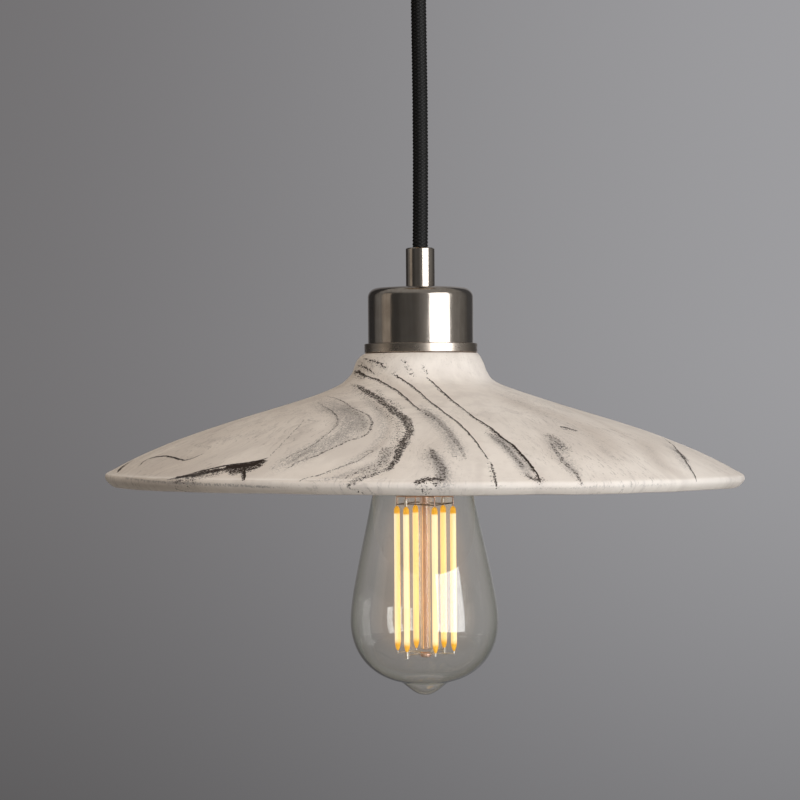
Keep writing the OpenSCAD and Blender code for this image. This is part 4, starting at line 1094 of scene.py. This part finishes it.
dark_wires = []
copper_wires = []
silver_wires = []
tabs = []
for i, (turn, station) in enumerate(zip(turns, stations)):
    following = stations[(i + 1) % FILAMENTS]
    tilt = FRAME_STAGGER * (-1) ** i
    dark_wires.append(drawn_wire([(*station, UPPER_WIRE + tilt), (*following, UPPER_WIRE - tilt)], 0.24))
    copper_wires.append(spoke(turn, COPPER_WIRE, 2.1, CAGE_RADIUS + 0.3, 0.0, 0.3))
    lead = [(*station, COPPER_WIRE + 0.2), (*station, COPPER_WIRE - 2), (*station, FILAMENT_TOP - 0.2)]
    copper_wires.append(drawn_wire(lead, 0.3))
    silver_wires.append(spoke(turn, LOWER_WIRE, 1.6, CAGE_RADIUS + 0.2, 0.6 * (i % 2), 0.26))
    foot = [(*station, FILAMENT_END - 1.3), (*station, FILAMENT_END + 0.3)]
    silver_wires.append(drawn_wire(foot, 0.28))
    if i in TABBED:
        tabs.append(tab(station, turn, FILAMENT_TOP + 1.6))
        tabs.append(tab(station, turn, FILAMENT_END - 1.0))
settle(joined(dark_wires), "upper_frame_wire", "bulb", "nickel_plate", ["filament_supports"], dark_wire)
settle(joined(copper_wires), "copper_leads", "bulb", material=copper)
settle(joined(silver_wires), "lower_support_wires", "bulb", material=silver_wire)
settle(joined(tabs), "filament_tabs", "bulb", material=silver_wire)

hub_outline = [
    (0, -332.6), (1.7, -332.7), (2.3, -333.1), (2.45, -333.8), (2.2, -334.6), (1.4, -335.0), (0, -335.1)
]
settle(turned(hub_outline, 32, closed=False, axis=CAGE), "stem_hub", "bulb", material=copper)

# Light and stage

BACKDROP_GREY = (0.24, 0.233, 0.226)
SCREEN_GAP = 0.01
SCREEN_MARGIN = 1.04
LAMP_DISTANCE = 1.5
FLOOR_HEIGHT = -1.6
BACKDROP_AWAY = 2.6
# Paler stretches of the air: how pale, and the bearings between which each rises and falls
PALE_STRETCHES = [
    (0.12, -2.3, -1.75, -1.68, -1.55),
    (0.11, -0.25, 0.2, 1.12, 1.32),
    (0.12, 0.9, 1.2, 1.45, 2.3),
]


def light_path(owner, first, second):
    """The larger of two numbers that a ray of light carries."""
    carried = [owner.node("LightPath", output=name) for name in (first, second)]
    return carried[0].larger(carried[1])


def seen_directly(owner):
    """1 where the backdrop is looked at, through glass or not, and 0 where it lights or mirrors."""
    return light_path(owner, "Is Camera Ray", "Is Transmission Ray")


# A screen in front of each lamp: grey straight through the bulb, clear where the glass mirrors the lamp
screen = finish("lamp_screen")
screen_sides = {
    0: light_path(screen, "Glossy Depth", "Diffuse Depth").ramp(0.4, 0.6),
    1: screen.node("Emission", inputs={"Color": (*BACKDROP_GREY, 1.0)}),
    2: screen.node("BsdfTransparent"),
}
screen.node("OutputMaterial", inputs={"Surface": screen.node("MixShader", inputs=screen_sides)})


def stage_plane(name, material, place, rotation, size=(9, 9)):
    """A flat sheet of the stage, its size in metres."""
    deselect()
    bpy.ops.mesh.primitive_plane_add(size=1, location=place, rotation=rotation)
    plane = bpy.context.object
    plane.scale = (*size, 1)
    bpy.ops.object.transform_apply(location=True, rotation=True, scale=True)
    plane.name = name
    plane.data.materials.append(material)
    return plane


def softbox(name, place, size, radiance, tint=(1, 1, 1), aim=None):
    """A flat lamp behind its screen, turned level to the pendant's axis or to another place."""
    light = bpy.data.lights.new(name, "AREA")
    light.shape = "RECTANGLE"
    light.size, light.size_y = size
    light.energy = radiance * math.pi * size[0] * size[1]
    light.color = tint
    lamp = bpy.data.objects.new(name, light)
    scene.collection.objects.link(lamp)
    lamp.location = place
    towards = Vector(aim or (0, 0, place[2])) - lamp.location
    lamp.rotation_euler = towards.to_track_quat("-Z", "Y").to_euler()
    lamp.visible_camera = False
    front = lamp.location + SCREEN_GAP * towards.normalized()
    cover = [SCREEN_MARGIN * side for side in size]
    hidden = stage_plane(name + "_screen", screen.owner, front, lamp.rotation_euler, cover)
    for ray in ("camera", "diffuse", "glossy", "volume_scatter", "shadow"):
        setattr(hidden, "visible_" + ray, False)
    return lamp


def at_bearing(degrees, height):
    """A lamp's place, at an angle to the right of the camera's side."""
    a = math.radians(degrees)
    return (LAMP_DISTANCE * math.sin(a), -LAMP_DISTANCE * math.cos(a), height)


softbox("key_light", at_bearing(41.8, 0.0), (1.23, 1.36), 4.6, (0.975, 0.985, 1.0))
softbox("fill_light", at_bearing(-80.5, -0.05), (0.62, 1.30), 0.26, (1.0, 0.87, 0.74))
top_light = softbox("top_light", (-0.5, -0.3, 1.6), (1.8, 1.8), 1.25, (1.0, 0.84, 0.68), (0, 0, -0.25))
front_light = softbox("front_light", at_bearing(-28, 0.35), (0.8, 0.8), 1.5, (1.0, 0.91, 0.82))
top_light.visible_glossy = front_light.visible_glossy = False

air = Finish(bpy.data.worlds.new("studio_air"))
scene.world = air.owner
direction = air.node("TexCoord", output="Generated")
east, north, up = (air.part_of(direction, axis) for axis in ("X", "Y", "Z"))
bearing_round = air.maths("ARCTAN2", east, north * -1)
level = 0.045 + 0.035 * bearing_round.ramp(-0.95, -0.65)
for gain, start, full, fading, end in PALE_STRETCHES:
    level = level + gain * bearing_round.ramp(start, full) * (1 - bearing_round.ramp(fading, end))
level = level * (1 - abs(up).ramp(0.5, 0.75)) + 0.26 * up.ramp(0.42, 0.8)
direct = seen_directly(air)
strength = level * (1 - direct) + BACKDROP_GREY[0] * direct
glow = air.node("Background", inputs={"Color": (1.0, 0.97, 0.94, 1), "Strength": strength})
air.node("OutputWorld", inputs={"Surface": glow})

pale = finish("pale_floor")
pale.surface(Base_Color=pale.mix(pale.noise(3), (0.60, 0.57, 0.53), (0.56, 0.53, 0.49)), Roughness=0.8)
# The backdrop glows with painted light: darker on the left and towards the bottom, and past both sides
# it tends to the backdrop grey where seen and to black in what it lights or mirrors
wall = finish("grey_backdrop")
wall_x = wall.part_of(wall.place, "X")
low_dim = 0.5 + 0.5 * wall.part_of(wall.place, "Z").ramp(-1.2, -0.1)
painted_wall_light = wall.mix(wall_x.ramp(-0.8, 0.8), (0.163, 0.157, 0.160), (0.350, 0.348, 0.362))
beyond = wall.mix(seen_directly(wall), (0, 0, 0), BACKDROP_GREY)
far_aside = 0.8 * abs(wall_x).ramp(0.8, 1.5)
wall.surface(
    Base_Color=(0.0, 0.0, 0.0),
    Roughness=1.0,
    Specular_IOR_Level=0.0,
    Emission_Color=wall.mix(far_aside, wall.mix(low_dim, (0, 0, 0), painted_wall_light), beyond),
    Emission_Strength=1.0,
)

stage_plane("floor", pale.owner, (0, 0, FLOOR_HEIGHT), (0, 0, 0))
stage_plane("backdrop", wall.owner, (0, BACKDROP_AWAY, 0), (math.radians(90), 0, 0))
